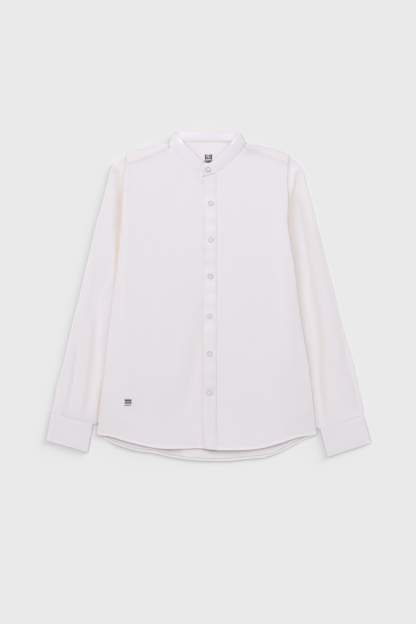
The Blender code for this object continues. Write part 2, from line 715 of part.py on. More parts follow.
def make_patch(material):
    rise = PLAIN / 2 + PATCH_GAP + PATCH_THICKNESS / 2
    half = PATCH_SIDE / 2
    rows = []
    for dy in (half, 0.0, -half):
        row = []
        for dx in (-half, 0.0, half):
            x = PATCH_CENTRE.x + dx
            y = PATCH_CENTRE.y + dy
            row.append((x, y, front_height(x, y) + rise))
        rows.append(row)
    cloth("hem_patch", rows, PATCH_THICKNESS, material)


def button_mesh(material):
    """A turned disc with a raised rim round a shallow dish, its underside at 0."""
    turned = bmesh.new()
    rings = []
    for row in BUTTON_PROFILE:
        ring = []
        for n in range(BUTTON_SIDES):
            angle = 2 * math.pi * n / BUTTON_SIDES
            point = (row.radius * math.cos(angle) * MM, row.radius * math.sin(angle) * MM, row.height * MM)
            ring.append(turned.verts.new(point))
        rings.append(ring)
    for lower, upper in zip(rings, rings[1:]):
        for n in range(BUTTON_SIDES):
            m = (n + 1) % BUTTON_SIDES
            turned.faces.new((lower[n], lower[m], upper[m], upper[n]))
    turned.faces.new(list(reversed(rings[0])))
    turned.faces.new(rings[-1])
    mesh = bpy.data.meshes.new("button")
    turned.to_mesh(mesh)
    turned.free()
    mesh.shade_smooth()
    mesh.set_sharp_from_angle(angle=BUTTON_SHARP_EDGE)
    mesh.materials.append(material)
    return mesh


def make_buttons(material):
    mesh = button_mesh(material)
    clearance = DOUBLED / 2 + SEAM_GAP
    places = [(COLLAR_BUTTON, COLLAR_BUTTON_HEIGHT + clearance, COLLAR_BUTTON_TILT)]
    for at in PLACKET_BUTTONS:
        places.append((at, front_height(at.x, at.y) + PLACKET_RISE + clearance, 0.0))
    for number, (at, height, tilt) in enumerate(places, start=1):
        button = bpy.data.objects.new(f"button_{number}", mesh)
        button.location = (at.x * MM, at.y * MM, height * MM)
        button.rotation_euler = (tilt, 0.0, 0.0)
        bpy.context.scene.collection.objects.link(button)


def centre_on_origin():
    """Move the whole shirt so that the middle of its box lies over the origin."""
    bpy.context.view_layer.update()
    graph = bpy.context.evaluated_depsgraph_get()
    pieces = list(bpy.context.scene.collection.objects)
    corners = []
    for piece in pieces:
        worn = piece.evaluated_get(graph)
        corners += [worn.matrix_world @ vertex.co for vertex in worn.data.vertices]
    for axis in (0, 1):
        values = [corner[axis] for corner in corners]
        middle = (min(values) + max(values)) / 2
        for piece in pieces:
            piece.location[axis] -= middle


def main():
    clear_scene()
    shirt_cloth = make_material(SHIRT_CLOTH)
    interlined_cloth = make_material(INTERLINED_CLOTH)
    make_back(shirt_cloth)
    make_yoke(shirt_cloth)
    make_front_right(shirt_cloth)
    make_placket(make_front_left(shirt_cloth), interlined_cloth)
    make_collar(interlined_cloth)
    for name, table, side, folds, turn in (
            ("right", RIGHT_SLEEVE, -1, RIGHT_SLEEVE_FOLDS, RIGHT_CUFF_TURN),
            ("left", LEFT_SLEEVE, 1, LEFT_SLEEVE_FOLDS, LEFT_CUFF_TURN)):
        rings = make_sleeve(f"sleeve_{name}", table, side, folds, shirt_cloth)
        make_sleeve_placket(f"sleeve_placket_{name}", rings, shirt_cloth)
        make_cuff(f"cuff_{name}", table[-1], turn, interlined_cloth)
    make_patch(make_material(PATCH_CLOTH))
    make_buttons(make_material(BUTTON_RESIN))
    centre_on_origin()


main()
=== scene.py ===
"""A white mandarin-collar shirt laid flat on a pale floor.

Every piece of cloth is a thin shell on the form of its solid. Tables are in millimetres, with +X to
the wearer's left, +Y to the collar and +Z up; the shirt lies on Z = 0.
"""
import math
from collections import namedtuple

import bmesh
import bpy
import numpy as np
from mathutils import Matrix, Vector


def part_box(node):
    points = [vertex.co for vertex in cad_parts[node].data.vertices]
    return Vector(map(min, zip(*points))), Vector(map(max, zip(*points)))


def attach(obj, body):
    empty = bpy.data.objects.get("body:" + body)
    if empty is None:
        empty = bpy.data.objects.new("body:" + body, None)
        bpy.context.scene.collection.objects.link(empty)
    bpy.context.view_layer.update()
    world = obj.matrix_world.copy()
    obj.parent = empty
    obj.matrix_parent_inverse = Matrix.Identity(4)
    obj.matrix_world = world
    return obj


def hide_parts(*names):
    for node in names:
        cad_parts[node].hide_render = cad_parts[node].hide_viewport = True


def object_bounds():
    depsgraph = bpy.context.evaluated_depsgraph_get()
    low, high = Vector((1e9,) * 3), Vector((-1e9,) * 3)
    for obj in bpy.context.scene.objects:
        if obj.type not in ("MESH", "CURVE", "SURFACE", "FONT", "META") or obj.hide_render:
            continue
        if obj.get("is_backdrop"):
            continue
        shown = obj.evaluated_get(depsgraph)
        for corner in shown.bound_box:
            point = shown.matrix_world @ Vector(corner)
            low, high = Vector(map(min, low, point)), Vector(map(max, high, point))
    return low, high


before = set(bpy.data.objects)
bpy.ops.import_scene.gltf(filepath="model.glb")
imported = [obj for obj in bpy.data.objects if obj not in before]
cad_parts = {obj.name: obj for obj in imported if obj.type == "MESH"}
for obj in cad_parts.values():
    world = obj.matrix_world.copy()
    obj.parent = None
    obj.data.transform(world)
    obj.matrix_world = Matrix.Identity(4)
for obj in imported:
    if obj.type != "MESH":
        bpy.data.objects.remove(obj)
SOLID_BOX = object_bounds()

bl_info = {
    "name": "Mandarin collar shirt",
    "version": (1, 0, 0),
    "blender": (4, 5, 0),
    "location": "View3D > Sidebar > Shirt",
    "description": "Builds a shirt laid flat, piece by piece, with its sewing and its stage",
    "category": "Object",
}

MM = 0.001
BODY = "root"
Point = namedtuple("Point", "x y")


def rows_of(kind, *values):
    """A table of rows of one kind."""
    return tuple(kind(*row) for row in values)


# Walls of the solids that the cloth follows
PLAIN = 1.2
LAY_GAP = 0.4
SLEEVE_AIR = 0.6                        # inside a sleeve below the body
SLEEVE_UNDER = 2 * PLAIN + SLEEVE_AIR   # top of a sleeve below the body
SLEEVE_TOP = 5.5                        # and in the open
BODY_RISE = SLEEVE_UNDER + LAY_GAP      # underside of the body on a sleeve
SIDE_FOLD_HEIGHT = 3.4                  # back to front at the body's side folds
FRONT_LOFT = 1.0                        # more air between them at the middle
UNDERLAP_DROP = 1.7                     # right front below the left front

# Widths
SIDE_ROLL = 3.2         # how far in from the edge a side fold rounds off
TUBE_ROLL = 3.0         # the same at a sleeve's outer fold
HIDDEN_ROLL = 1.8       # and at its hidden fold
SLOPE_START = 52.0      # the back starts to rise this far inside a sleeve's hidden edge
SLOPE_END = 24.0        # and is at its full height here
SLOPE_FADE = 24.0       # length over which it comes down again below a sleeve
SWELL_START = 150.0     # the fronts rise more softly, from this far inside a sleeve's hidden edge
SWELL_BLEND = 26.0      # radius that rounds their rise at the underarm
SWELL_FADE = 70.0
LOFT_REACH = 40.0       # how far in from the edge the front has all its loft
PLACKET_WIDTH = 30.0
PLACKET_EDGE = -13.0
UNDERLAP_EDGE = 14.0
UNDERLAP_SLOPE = (-13.0, -7.0)      # x between which the right front dips below the left one
UNDERLAP_AT_NECK = (-30.0, -16.0)   # and below the collar's over end
NECK_DIP = (250.0, 270.0)           # y between which the one slope turns into the other
UNDER_PLACKET = 7.0     # how far the left front goes on below the placket
TUCK = 1.5              # how far each front goes below the yoke, and the placket below the collar
COLLAR_TUCK = 4.2       # and each front below the collar
TO_COLLAR = 5.0         # how far the shoulder goes on below the collar
NECK_MIDDLE = -4.0
NECK_HALF = 90.0        # from there to where the collar crosses the shoulder
NECK_FOOT = 250.0       # the opening's lowest y
CALM_EDGE = 14.0        # the fronts' creases fade out over this width beside their side edges
CALM_HEM = 40.0         # and the two waves of their hem over this
HEM_RIDGE = 3.0         # how far above the hem's edge its soft ridge runs, and how wide it is
HEM_SEAM = 7.0          # and where the hem is pulled in by its stitches
HEM_INSET = 0.6         # from the hem's turned edge to its stitches
PUCKER = 11.0           # length of a sewn hem's uneven waves, and how far up they go
PLACKET_BUTTONS = rows_of(
    Point, (4.3, 213), (4.3, 130), (3.4, 47), (1.1, -42), (1.4, -128), (0.9, -216),
)

# Body outline: the side edges
BodyRow = namedtuple("BodyRow", "y left right")
BODY_ROWS = rows_of(
    BodyRow, (320, -186.5, 181.5), (303, -187, 180.5), (268, -190.5, 179), (222, -194, 181),
    (171, -197.2, 180), (130, -201.4, 185), (80, -205.2, 194), (16, -213.2, 202),
    (-74, -226.3, 214), (-165, -236, 229), (-233, -244.6, 237), (-312, -254, 246),
)
BODY_TOP = 303
BODY_FOOT = -312.5
# Yoke seam and neck seam of the right front
RIGHT_TOP = rows_of(
    Point, (-187, 303), (-172, 307), (-157, 311), (-140, 317.5), (-123, 325), (-109, 331.5),
    (-94, 338.8), (-82, 329.5), (-70, 320.8), (-55, 306.8), (-42, 294.5), (-28, 285.3),
    (-16, 279.3), (0, 275.8), (14, 275),
)
# And of the left front, from the placket's edge
LEFT_TOP = rows_of(
    Point, (-13, 271.2), (2, 275.5), (17, 280), (36, 291.3), (51, 304.8), (62, 315.2), (73, 327.4),
    (82, 336), (103, 333.5), (122, 325.5), (141, 318.5), (157, 312.4), (168.5, 308), (180.5, 303),
)
FRONT_HEM = rows_of(
    Point, (-254, -312.5), (-224, -316), (-190, -326), (-156, -334.5), (-122, -341.5),
    (-88, -344.3), (-42, -343), (-16, -343), (2, -346), (48, -347), (94, -345.5), (128, -340.5),
    (162, -331), (207, -317), (246, -312.5),
)
BACK_HEM = rows_of(
    Point, (-254, -312.5), (-224, -329), (-190, -342.5), (-162, -350), (-122, -355), (-88, -363.4),
    (-2, -372.5), (48, -372.3), (94, -367.5), (128, -364), (150, -357.5), (185, -341),
    (219, -323.5), (246, -312.5),
)
BACK_YOKE_SEAM = rows_of(
    Point, (-190, 236), (-120, 247), (0, 252), (110, 247), (180, 236),
)
RIGHT_SHOULDER = rows_of(
    Point, (-186.5, 322.5), (-171, 328), (-156, 332.5), (-139, 338), (-122, 343.5), (-108, 347),
    (-96, 348.8),
)
LEFT_SHOULDER = rows_of(
    Point, (88, 348.3), (106, 345.2), (124, 340.7), (142, 335.5), (157, 330.8), (169, 326.5),
    (181.5, 321.5),
)
BACK_NECK = rows_of(
    Point, (-96, 346.5), (-82, 347.5), (-58, 349), (-30, 350), (-2, 350.5), (26, 350), (52, 349.2),
    (74, 347.5), (88, 346.5),
)

# Sleeves from the armhole to the cuff: outer fold, hidden inner fold, and the width of the valley
# between the body's edge and the sleeve's crown
SleeveRow = namedtuple("SleeveRow", "outer_x outer_y inner_x inner_y valley")
RIGHT_SLEEVE = rows_of(
    SleeveRow, (-176, 317, -104, 104, 2.2), (-187.3, 319.5, -104, 96, 2.2),
    (-203, 312.5, -104.5, 86, 2.4), (-217, 300, -106, 75, 3.5), (-228, 264, -110, 58, 9),
    (-242, 210, -117, 35, 12), (-258, 153, -126, 8, 11), (-269, 104, -136, -20, 9),
    (-290, 14, -157, -65, 6), (-312, -74, -186, -115, 5), (-329, -151, -212, -170, 5),
    (-343, -199, -232, -216, 5), (-351, -246, -249, -281, 5), (-357, -261, -261, -288, 5),
)
LEFT_SLEEVE = rows_of(
    SleeveRow, (171, 315, 100, 104, 3), (182.3, 318.5, 100, 96, 3), (200, 303.5, 100, 86, 3.5),
    (212, 289.5, 101, 75, 4), (220, 263, 103, 58, 4.5), (235, 206, 108, 35, 9),
    (250, 146, 116, 8, 12), (264, 90, 126, -20, 11), (285, 8, 146, -65, 10),
    (305, -76, 170, -115, 9), (324, -137, 196, -172, 8), (338, -197, 218, -222, 7),
    (350, -250, 241, -290, 6), (352, -267, 252, -300, 6),
)

# Collar band, from the under end at the centre front, round the back to the over end
CollarRow = namedtuple("CollarRow", "seam_x seam_y seam_z edge_x edge_y edge_z")
COLLAR = rows_of(
    CollarRow, (14, 278, 2.9, 15, 303, 6.2), (-1, 278.5, 2.9, 1, 303.5, 6.6),
    (-15, 281.5, 3.3, -8, 305, 6.9), (-28, 287.2, 4.2, -14, 307.5, 9.6),
    (-41.5, 296.4, 5, -23, 316.5, 13.5), (-54.5, 308.8, 5.2, -35, 328.5, 15.5),
    (-68.5, 322, 5.3, -49.5, 341, 16), (-82, 333.2, 5.3, -59.5, 353, 15.5),
    (-90.6, 340.6, 5.2, -69, 363.5, 15), (-92.2, 344.6, 4.9, -75.2, 369.8, 14.4),
    (-91.4, 348.2, 4, -76.6, 372.4, 12.6), (-87, 350.4, 3, -72.6, 373.3, 11.2),
    (-75, 351, 2.3, -65, 373.4, 12.8), (-55, 351.3, 1.9, -50, 373.5, 17),
    (-28, 351.7, 1.7, -26, 373.6, 20.5), (-2, 352, 1.7, -2.5, 373.7, 21.8),
    (24, 351.7, 1.7, 21, 373.6, 20.5), (49, 351.2, 1.9, 44, 373.5, 17),
    (69, 350.4, 2.3, 59, 373.5, 12.8), (80.5, 349.4, 3, 66.4, 373.4, 11.2),
    (84.6, 347, 4, 70.4, 372.4, 12.6), (84, 343.4, 4.9, 69, 369.6, 14.4),
    (80.6, 338.6, 5.4, 62, 362.5, 15), (71.8, 329.2, 5.6, 51, 351, 15.5),
    (61, 317.2, 5.8, 41.5, 338.5, 15.5), (50, 306.8, 5.9, 32.5, 328.5, 15),
    (35.3, 293.1, 6, 20, 317.5, 13), (20, 283, 6.1, 10, 309, 11.2),
    (4, 278.2, 6.2, -1, 302.5, 10.4), (-11.5, 273.4, 6.2, -10.5, 298.5, 10.3),
)

# Creases laid over a surface: the points they run through, how far they reach to the left and to
# the right of the way they run, their height (below 0 a trough), how far they fade in and out, and
# how much warm shade is painted in them
Crease = namedtuple("Crease", "path left right height fade warm", defaults=(0.0,))
FRONT_CREASES = rows_of(
    Crease,
    # wearer's right front
    (((-186, 225), (-190, 60), (-201, -110)), 6, 5, 0.45, 60),
    (((-172, 235), (-174, 80), (-182, -60)), 9, 8, -0.25, 60),
    (((-176, 300), (-177, 262), (-181, 222)), 6, 4, -0.35, 20, 0.05),
    (((-15, 30), (-17, -74), (-32, -140), (-48, -192), (-68, -268)), 12, 22, -0.9, 60, 0.02),
    (((-17, -120), (-24, -170), (-36, -225), (-52, -285)), 9, 9, 0.45, 40, 0.03),
    (((-78, -190), (-92, -250), (-112, -305)), 22, 24, -0.5, 40),
    (((-226, -250), (-180, -268), (-128, -296)), 14, 18, 0.4, 40),
    (((-160, -150), (-170, -205), (-158, -262)), 16, 14, -0.35, 40),
    (((-132, 236), (-108, 214), (-72, 205)), 6, 6, -0.2, 18),
    (((-146, 150), (-118, 128), (-84, 122)), 7, 9, -0.15, 24),
    (((-60, 180), (-64, 120), (-60, 66)), 8, 8, 0.15, 30),
    (((-110, 60), (-118, -20), (-124, -110)), 14, 12, 0.2, 60),
    (((-58, -60), (-66, -130), (-84, -190)), 9, 9, 0.25, 40),
    # wearer's left front
    (((146, 275), (156, 150), (166, 20), (172, -120)), 13, 12, 0.4, 80),
    (((168, 120), (184, 10), (196, -90), (208, -200)), 9, 10, -0.45, 60),
    (((136, -236), (190, -239.5), (236, -240)), 3.2, 3.2, -0.3, 26),
    (((150, -246), (196, -249), (236, -249)), 3.5, 3.5, 0.2, 26),
    (((60, -176), (120, -181), (176, -174)), 4, 4, -0.14, 30),
    (((70, -118), (118, -113), (152, -120)), 5, 5, -0.12, 30),
    (((96, 30), (99, -30), (92, -88)), 7, 7, -0.2, 30),
    (((46, 120), (52, 20), (50, -90)), 16, 14, 0.2, 60),
    (((116, 210), (126, 172), (150, 140)), 8, 8, -0.15, 26),
    (((166, -150), (172, -215), (160, -270)), 18, 16, -0.35, 40),
    (((40, -250), (46, -300), (60, -335)), 12, 12, 0.25, 30),
    (((90, -215), (98, -270), (96, -325)), 14, 14, -0.2, 30),
)
# The front hem stands off the back in two waves, either side of the placket
HEM_WAVES = rows_of(
    Crease,
    (((-215, -326), (-165, -337), (-100, -348), (-52, -346)), 34, 34, 2.2, 40),
    (((22, -349), (70, -350), (130, -343), (196, -326)), 34, 34, 2.4, 36),
    (((-30, -365), (-29, -340), (-28, -310)), 10, 12, -1.4, 20),
)
RIGHT_SLEEVE_CREASES = rows_of(
    Crease,
    # the cap's folded edge below the shoulder and the valley under it
    (((-222, 298), (-206, 293.3), (-197, 287.5), (-188, 282)), 15, 1.8, 0.9, 3),
    (((-220, 292), (-207, 288), (-198, 282)), 2.2, 7, -0.6, 6, 0.2),
    (((-204, 289), (-204, 255), (-202, 210), (-205, 150)), 4, 7, -0.9, 20, 0.2),
    (((-197, 284), (-197.5, 262), (-199, 236)), 2.2, 2.2, 0.5, 12, 0.05),
    (((-214, 262), (-220, 200), (-231, 130)), 7, 10, 0.4, 40),
    (((-299, -100), (-309.4, -188), (-326, -275)), 4, 5, -0.8, 40, 0.1),
    (((-292, -105), (-301, -188), (-316, -272)), 4, 5, 0.4, 40),
    (((-257, -20), (-261, -90), (-270, -180), (-285, -284)), 5, 6, -0.9, 50, 0.12),
    (((-238, 10), (-246, -74), (-251, -170), (-262, -232), (-268, -284)), 6, 6, 0.8, 50, 0.03),
    (((-262, 70), (-282, -10), (-300, -70)), 9, 9, 0.3, 40),
    (((-330, -215), (-338, -240), (-345, -262)), 5, 5, 0.5, 16),
    (((-248, 90), (-262, 20), (-276, -60)), 9, 9, -0.25, 40, 0.05),
)
LEFT_SLEEVE_CREASES = rows_of(
    Crease,
    # the folded strip between the armhole and the sleeve
    (((216, 294), (209.5, 291), (201.6, 288.7), (194.8, 282), (192.5, 266), (189.5, 248),
     (187.5, 228)), 1.8, 9, 1.0, 9),
    (((206, 284), (199, 277), (197, 262), (194.5, 246), (192, 224)), 6, 2.2, -0.9, 12, 0.3),
    (((203.8, 290), (206, 281), (207.5, 271)), 2.2, 2.2, -0.5, 6, 0.15),
    (((212, 262), (220, 215), (229, 160)), 5, 7, 0.5, 30),
    (((198, 246), (206, 225), (214, 186), (224.3, 118), (232.2, 55), (254, -81), (257, -199),
     (268, -290)), 9, 4.5, -0.6, 50, 0.18),
    (((206, 120), (216, 50), (234, -81), (244, -199), (258, -290)), 5.5, 6, 0.7, 60, 0.04),
    (((243, 178), (261, 90), (277, 16), (298, -67.6), (312.4, -153), (329, -206), (338, -249),
     (346, -275)), 4, 10, -0.9, 40, 0.05),
    (((251, 170), (270, 84), (287, 10), (308, -72), (322, -150), (337, -205), (346, -249)),
     5, 4, 0.4, 40),
    (((262, 60), (274, 0), (288, -60)), 8, 9, 0.3, 40),
    (((283, -110), (300, -190), (318, -262)), 10, 12, -0.3, 40, 0.03),
    (((270, -150), (282, -215), (296, -275)), 7, 7, 0.3, 30, 0.05),
)
# side is -1 for the wearer's right; the turn is the cuff's
Arm = namedtuple("Arm", "name side rows creases turn")
ARMS = (
    Arm("right", -1, RIGHT_SLEEVE, RIGHT_SLEEVE_CREASES, math.radians(-10.5)),
    Arm("left", 1, LEFT_SLEEVE, LEFT_SLEEVE_CREASES, math.radians(15.5)),
)
# Painted light and shade along each side of the body, upwards. On the sleeve: how much warm shade
# is painted beside the body, how far out from the edge and over what reach; how much painted shade
# darkens it and how far that spreads; how much painted highlight its first crest gets and where. On
# the front: how much brighter it is painted inside its edge, and how far that goes
EdgeRow = namedtuple("EdgeRow", "y warm away reach dark spread crest crest_at inside fade")
RIGHT_EDGE_SHADING = rows_of(
    EdgeRow,
    (-305, 0.5, 1, 2, 0.05, 5, 0, 12, -0.02, 16),
    (-279, 0.5, 2.5, 3, 0.07, 6, 0, 12, -0.02, 14),
    (-245, 0.75, 2.5, 2.2, 0.08, 4, 0.02, 14, -0.02, 10),
    (-220, 0.8, 2.5, 2.2, 0.07, 4, 0.02, 16, -0.01, 10),
    (-177, 0.22, 2.5, 3.5, 0, 5, 0.03, 10, 0, 6),
    (-120, 0.2, 3, 4.5, 0.03, 8, 0.02, 17, 0.01, 6),
    (-74, 0.1, 3, 3, 0.03, 6, 0.02, 20, 0, 6),
    (-6, 0.22, 2, 2, 0.01, 4, 0.01, 30, 0, 6),
    (50, 0.4, 3, 3, 0.03, 5, 0.02, 9, 0, 6),
    (107, 0.62, 4, 5, 0.05, 9, 0.02, 14, 0.01, 5),
    (164, 0.44, 5.5, 8, 0.05, 16, 0, 20, 0, 5),
    (220, 0.36, 7, 8, 0.05, 18, 0, 20, 0.03, 4),
    (285, 0.1, 3, 3, 0.02, 10, 0, 20, 0.035, 4),
)
LEFT_EDGE_SHADING = rows_of(
    EdgeRow,
    (-305, 0.12, 2, 3, 0.03, 4, 0.01, 14, -0.03, 16),
    (-279, 0.12, 3, 4, 0.05, 5, 0.03, 14, -0.03, 16),
    (-233, 0.15, 3, 4, 0.05, 5, 0.03, 14, -0.015, 14),
    (-177, 0.15, 3, 5, 0.06, 6, 0.03, 14, 0, 14),
    (-120, 0.22, 3, 6, 0.08, 8, 0.03, 21, -0.015, 12),
    (-74, 0.25, 2, 4.5, 0.07, 6, 0.03, 24, -0.05, 16),
    (-6, 0.27, 3, 6, 0.09, 7, 0.04, 20, -0.055, 14),
    (50, 0.27, 3, 8, 0.12, 11, 0.04, 25, -0.05, 9),
    (107, 0.28, 3, 10, 0.12, 13, 0.04, 26, -0.03, 5),
    (164, 0.3, 3, 11, 0.14, 15, 0, 30, -0.04, 6),
    (220, 0.28, 5, 13, 0.12, 15, 0, 30, 0.01, 4),
    (250, 0.2, 3, 5, 0.04, 5, 0, 30, 0.03, 4),
    (285, 0.15, 1, 2.4, 0, 5, 0, 30, 0.035, 4),
)
CREST_REACH = 7.0
CREASE_LIGHT = 0.04     # painted light and shade: how much brighter a sleeve is on a crease 1 mm high
FRONT_CREASE_LIGHT = 0.03
SEAM_LIGHT = (-0.045, -0.012)   # painted shade: how much brighter the right and the left sleeve are at the cuff
SEAM_LIGHT_REACH = 20.0
NECK_LIGHT = 0.03       # painted light: how much brighter the yoke is inside the neck
YOKE_LIGHT = 0.02       # and over the right shoulder
COLLAR_BACK_LIGHT = 0.15        # and the band behind the neck
# Painted shadow below the front hem: how much darker the back is, and how far down
HemRow = namedtuple("HemRow", "x dark reach")
HEM_SHADE = rows_of(
    HemRow, (-245, 0.2, 3), (-213, 0.4, 4), (-167, 0.28, 3.5), (-122, 0.17, 4), (-105, 0.2, 7),
    (-90, 0.26, 9), (-68, 0.2, 9), (-49, 0.05, 3), (-20, 0.22, 2.5), (0, 0.3, 6), (8, 0.33, 8),
    (60, 0.22, 11), (116, 0.07, 10), (173, 0.14, 6), (218, 0.08, 5),
)
# Painted shade: how much darker the cloth is down the body, where the light falls off
PaintedShadeRow = namedtuple("PaintedShadeRow", "y share")
PAINTED_SHADE_DOWN = (PaintedShadeRow(-373, 0.065), PaintedShadeRow(-230, 0.058), PaintedShadeRow(0, 0.03), PaintedShadeRow(230, 0.0))
# And soft spots of painted shade: their middle, their reach across and down, and how much darker
PaintedShadeSpot = namedtuple("PaintedShadeSpot", "x y wide high share")
PAINTED_SHADE_SPOTS = rows_of(
    PaintedShadeSpot, (208, -200, 34, 100, 0.03), (-215, -300, 60, 50, 0.03), (215, -290, 40, 40, 0.02),
    (2, -260, 14, 110, 0.025), (92, 332, 24, 14, 0.07),
)


# -------------------- sizes and colours to change

def length(name, description, default):
    return bpy.props.FloatProperty(name=name, description=description, default=default, min=0.0,
                                   unit="LENGTH", precision=5)


def tint(name, description, default):
    return bpy.props.FloatVectorProperty(name=name, description=description, default=default,
                                         min=0.0, max=1.0, size=3, subtype="COLOR")


class ShirtSizes(bpy.types.PropertyGroup):
    grid: length("Mesh step", "Distance between the points of a shown surface", 0.0026)
    hidden_grid: length("Hidden mesh step", "The same on surfaces that lie hidden", 0.008)
    cloth: length("Cloth thickness", "One layer of shirt cloth with its nap", 0.0005)
    interlined: length("Interlined thickness", "Two layers with interlining between", 0.0012)
    hem: length("Hem depth", "Width of the turned hem", 0.007)
    stitch: length("Stitch length", "Length of one stitch with its gap", 0.0026)
    thread: length("Thread width", "Width of the sewing thread", 0.0005)
    seam_inset: length("Stitch inset", "How far in from its edge the yoke is sewn", 0.002)
    weave: length("Thread pitch", "Distance between the threads of the weave", 0.0004)


class ShirtColours(bpy.types.PropertyGroup):
    cloth: tint("Cloth", "Shirt cloth, one layer", (0.80, 0.762, 0.797))
    interlined: tint("Interlined cloth", "Collar, cuffs and placket", (0.797, 0.768, 0.82))
    # painted warm shade: the colour blended into folds, valleys and seams where shade falls
    warm: tint("Cloth in folds", "The cloth where light only reaches it through itself",
               (0.80, 0.62, 0.46))
    thread: tint("Thread", "Sewing thread", (0.80, 0.77, 0.79))
    button: tint("Button", "Pale resin", (0.86, 0.79, 0.8))
    # painted shade: the darker ring of shadow painted round each button
    button_rim: tint("Button rim", "The darker ring round a button", (0.66, 0.58, 0.6))
    patch: tint("Patch tape", "Close-woven tape of the hem patch", (0.775, 0.75, 0.785))
    print: tint("Print", "Plain bars on the patch and inside the neck", (0.045, 0.043, 0.045))
    floor: tint("Floor", "Pale plain floor", (0.80, 0.80, 0.80))


# -------------------- curves and surfaces

def column(rows, name):
    return np.array([getattr(row, name) for row in rows], float)


def curve(at, values):
    """A smooth line through values that rise along at, read anywhere."""
    order = np.argsort(at)
    at, values = np.asarray(at, float)[order], np.asarray(values, float)[order]
    slope = np.gradient(values, at)

    def read(place):
        place = np.clip(place, at[0], at[-1])
        i = np.clip(np.searchsorted(at, place) - 1, 0, len(at) - 2)
        h = at[i + 1] - at[i]
        t = (place - at[i]) / h
        return ((1 + 2 * t) * (1 - t) ** 2 * values[i] + t * (1 - t) ** 2 * h * slope[i]
                + t * t * (3 - 2 * t) * values[i + 1] - t * t * (1 - t) * h * slope[i + 1])
    return read


def across(points):
    """y of a line over x, straight between its points."""
    xs, ys = column(points, "x"), column(points, "y")
    return lambda x: np.interp(x, xs, ys)


left_edge = curve(column(BODY_ROWS, "y"), column(BODY_ROWS, "left"))
right_edge = curve(column(BODY_ROWS, "y"), column(BODY_ROWS, "right"))
front_hem = curve(column(FRONT_HEM, "x"), column(FRONT_HEM, "y"))
back_hem = curve(column(BACK_HEM, "x"), column(BACK_HEM, "y"))
back_yoke_seam = curve(column(BACK_YOKE_SEAM, "x"), column(BACK_YOKE_SEAM, "y"))
back_neck = curve(column(BACK_NECK, "x"), column(BACK_NECK, "y"))


def mix(a, b, share):
    return a + (b - a) * share


def ease(value):
    value = np.clip(value, 0.0, 1.0)
    return value * value * (3.0 - 2.0 * value)


def bell(away, reach):
    """A smooth bump: 1 at its middle and about a third of that at its reach."""
    return np.exp(-(away / reach) ** 2)


def smooth_rows(rows, stations):
    """Rows between the rows of a table, on smooth curves through its columns."""
    table = np.array(rows, float)
    at = np.arange(len(table))
    return np.stack([curve(at, table[:, k])(stations) for k in range(table.shape[1])], axis=1)


def spaced(total, step, ends=()):
    """Places from 0 to total about a step apart, with extra ones near each end."""
    inner = np.linspace(0.0, total, max(int(round(total / step)), 2) + 1)
    extra = np.array(ends, float)
    places = np.concatenate((inner, extra, total - extra))
    places = np.unique(np.round(places[(places >= 0) & (places <= total)], 4))
    keep = np.concatenate(([True], np.diff(places) > 0.05))
    keep[-1] = True
    return places[keep]


CREASE_STEPS = 8        # straight pieces of a crease between two of its points
CREASE_END = 3.0        # a crease is nothing beyond this many reaches


def relief(creases, x, y):
    """Height and painted warm shade that creases give at each point."""
    height, warmth = np.zeros_like(x), np.zeros_like(x)
    for crease in creases:
        count = len(crease.path)
        path = smooth_rows(crease.path, np.linspace(0, count - 1, CREASE_STEPS * (count - 1) + 1))
        reach = CREASE_END * max(crease.left, crease.right)
        near = ((x > path[:, 0].min() - reach) & (x < path[:, 0].max() + reach)
                & (y > path[:, 1].min() - reach) & (y < path[:, 1].max() + reach))
        if not near.any():
            continue
        px, py = x[near], y[near]
        best = np.full(px.shape, 1e9)
        side, along = np.zeros_like(px), np.zeros_like(px)
        run = 0.0
        for (ax, ay), (bx, by) in zip(path, path[1:]):
            dx, dy = bx - ax, by - ay
            size = math.hypot(dx, dy)
            t = np.clip(((px - ax) * dx + (py - ay) * dy) / size ** 2, 0.0, 1.0)
            away = np.hypot(px - ax - t * dx, py - ay - t * dy)
            closer = away < best
            sign = np.where(dx * (py - ay) - dy * (px - ax) >= 0, 1.0, -1.0)
            best = np.where(closer, away, best)
            side = np.where(closer, sign, side)
            along = np.where(closer, run + t * size, along)
            run += size
        width = np.where(side > 0, crease.left, crease.right)
        fade = ease(along / crease.fade) * ease((run - along) / crease.fade)
        shape = bell(best, width) * fade
        height[near] += crease.height * shape
        warmth[near] += crease.warm * shape
    return height, warmth


def ripple(x, y, size, seed):
    """Small uneven waves, the same on every run."""
    draw = np.random.default_rng(seed)
    total = np.zeros_like(x)
    for _ in range(7):
        angle = draw.uniform(0, 2 * math.pi)
        wave = size * draw.uniform(0.6, 1.7)
        phase = draw.uniform(0, 2 * math.pi)
        total += np.sin((x * math.cos(angle) + y * math.sin(angle)) * 2 * math.pi / wave + phase)
    return total / 7


def inside_sleeves(x, y):
    """For each sleeve, how far each point lies inside its two hidden lines, and its height above
    the sleeve's end."""
    for arm in ARMS:
        first, last = arm.rows[1], arm.rows[-1]
        corners = (first[0:2], first[2:4], last[2:4])
        depths = []
        for (ax, ay), (bx, by) in zip(corners, corners[1:]):
            dx, dy = bx - ax, by - ay
            depths.append(arm.side * (dx * (y - ay) - dy * (x - ax)) / math.hypot(dx, dy))
        yield depths[0], depths[1], y - last.inner_y


def over_sleeve(x, y):
    """1 where the back lies on a sleeve, 0 where it lies on the floor, and a slope between."""
    share = np.zeros_like(x)
    for first, second, above in inside_sleeves(x, y):
        rise = ease((np.minimum(first, second) + SLOPE_START) / (SLOPE_START - SLOPE_END))
        share = np.maximum(share, rise * ease((above + SLOPE_FADE) / SLOPE_FADE))
    return share


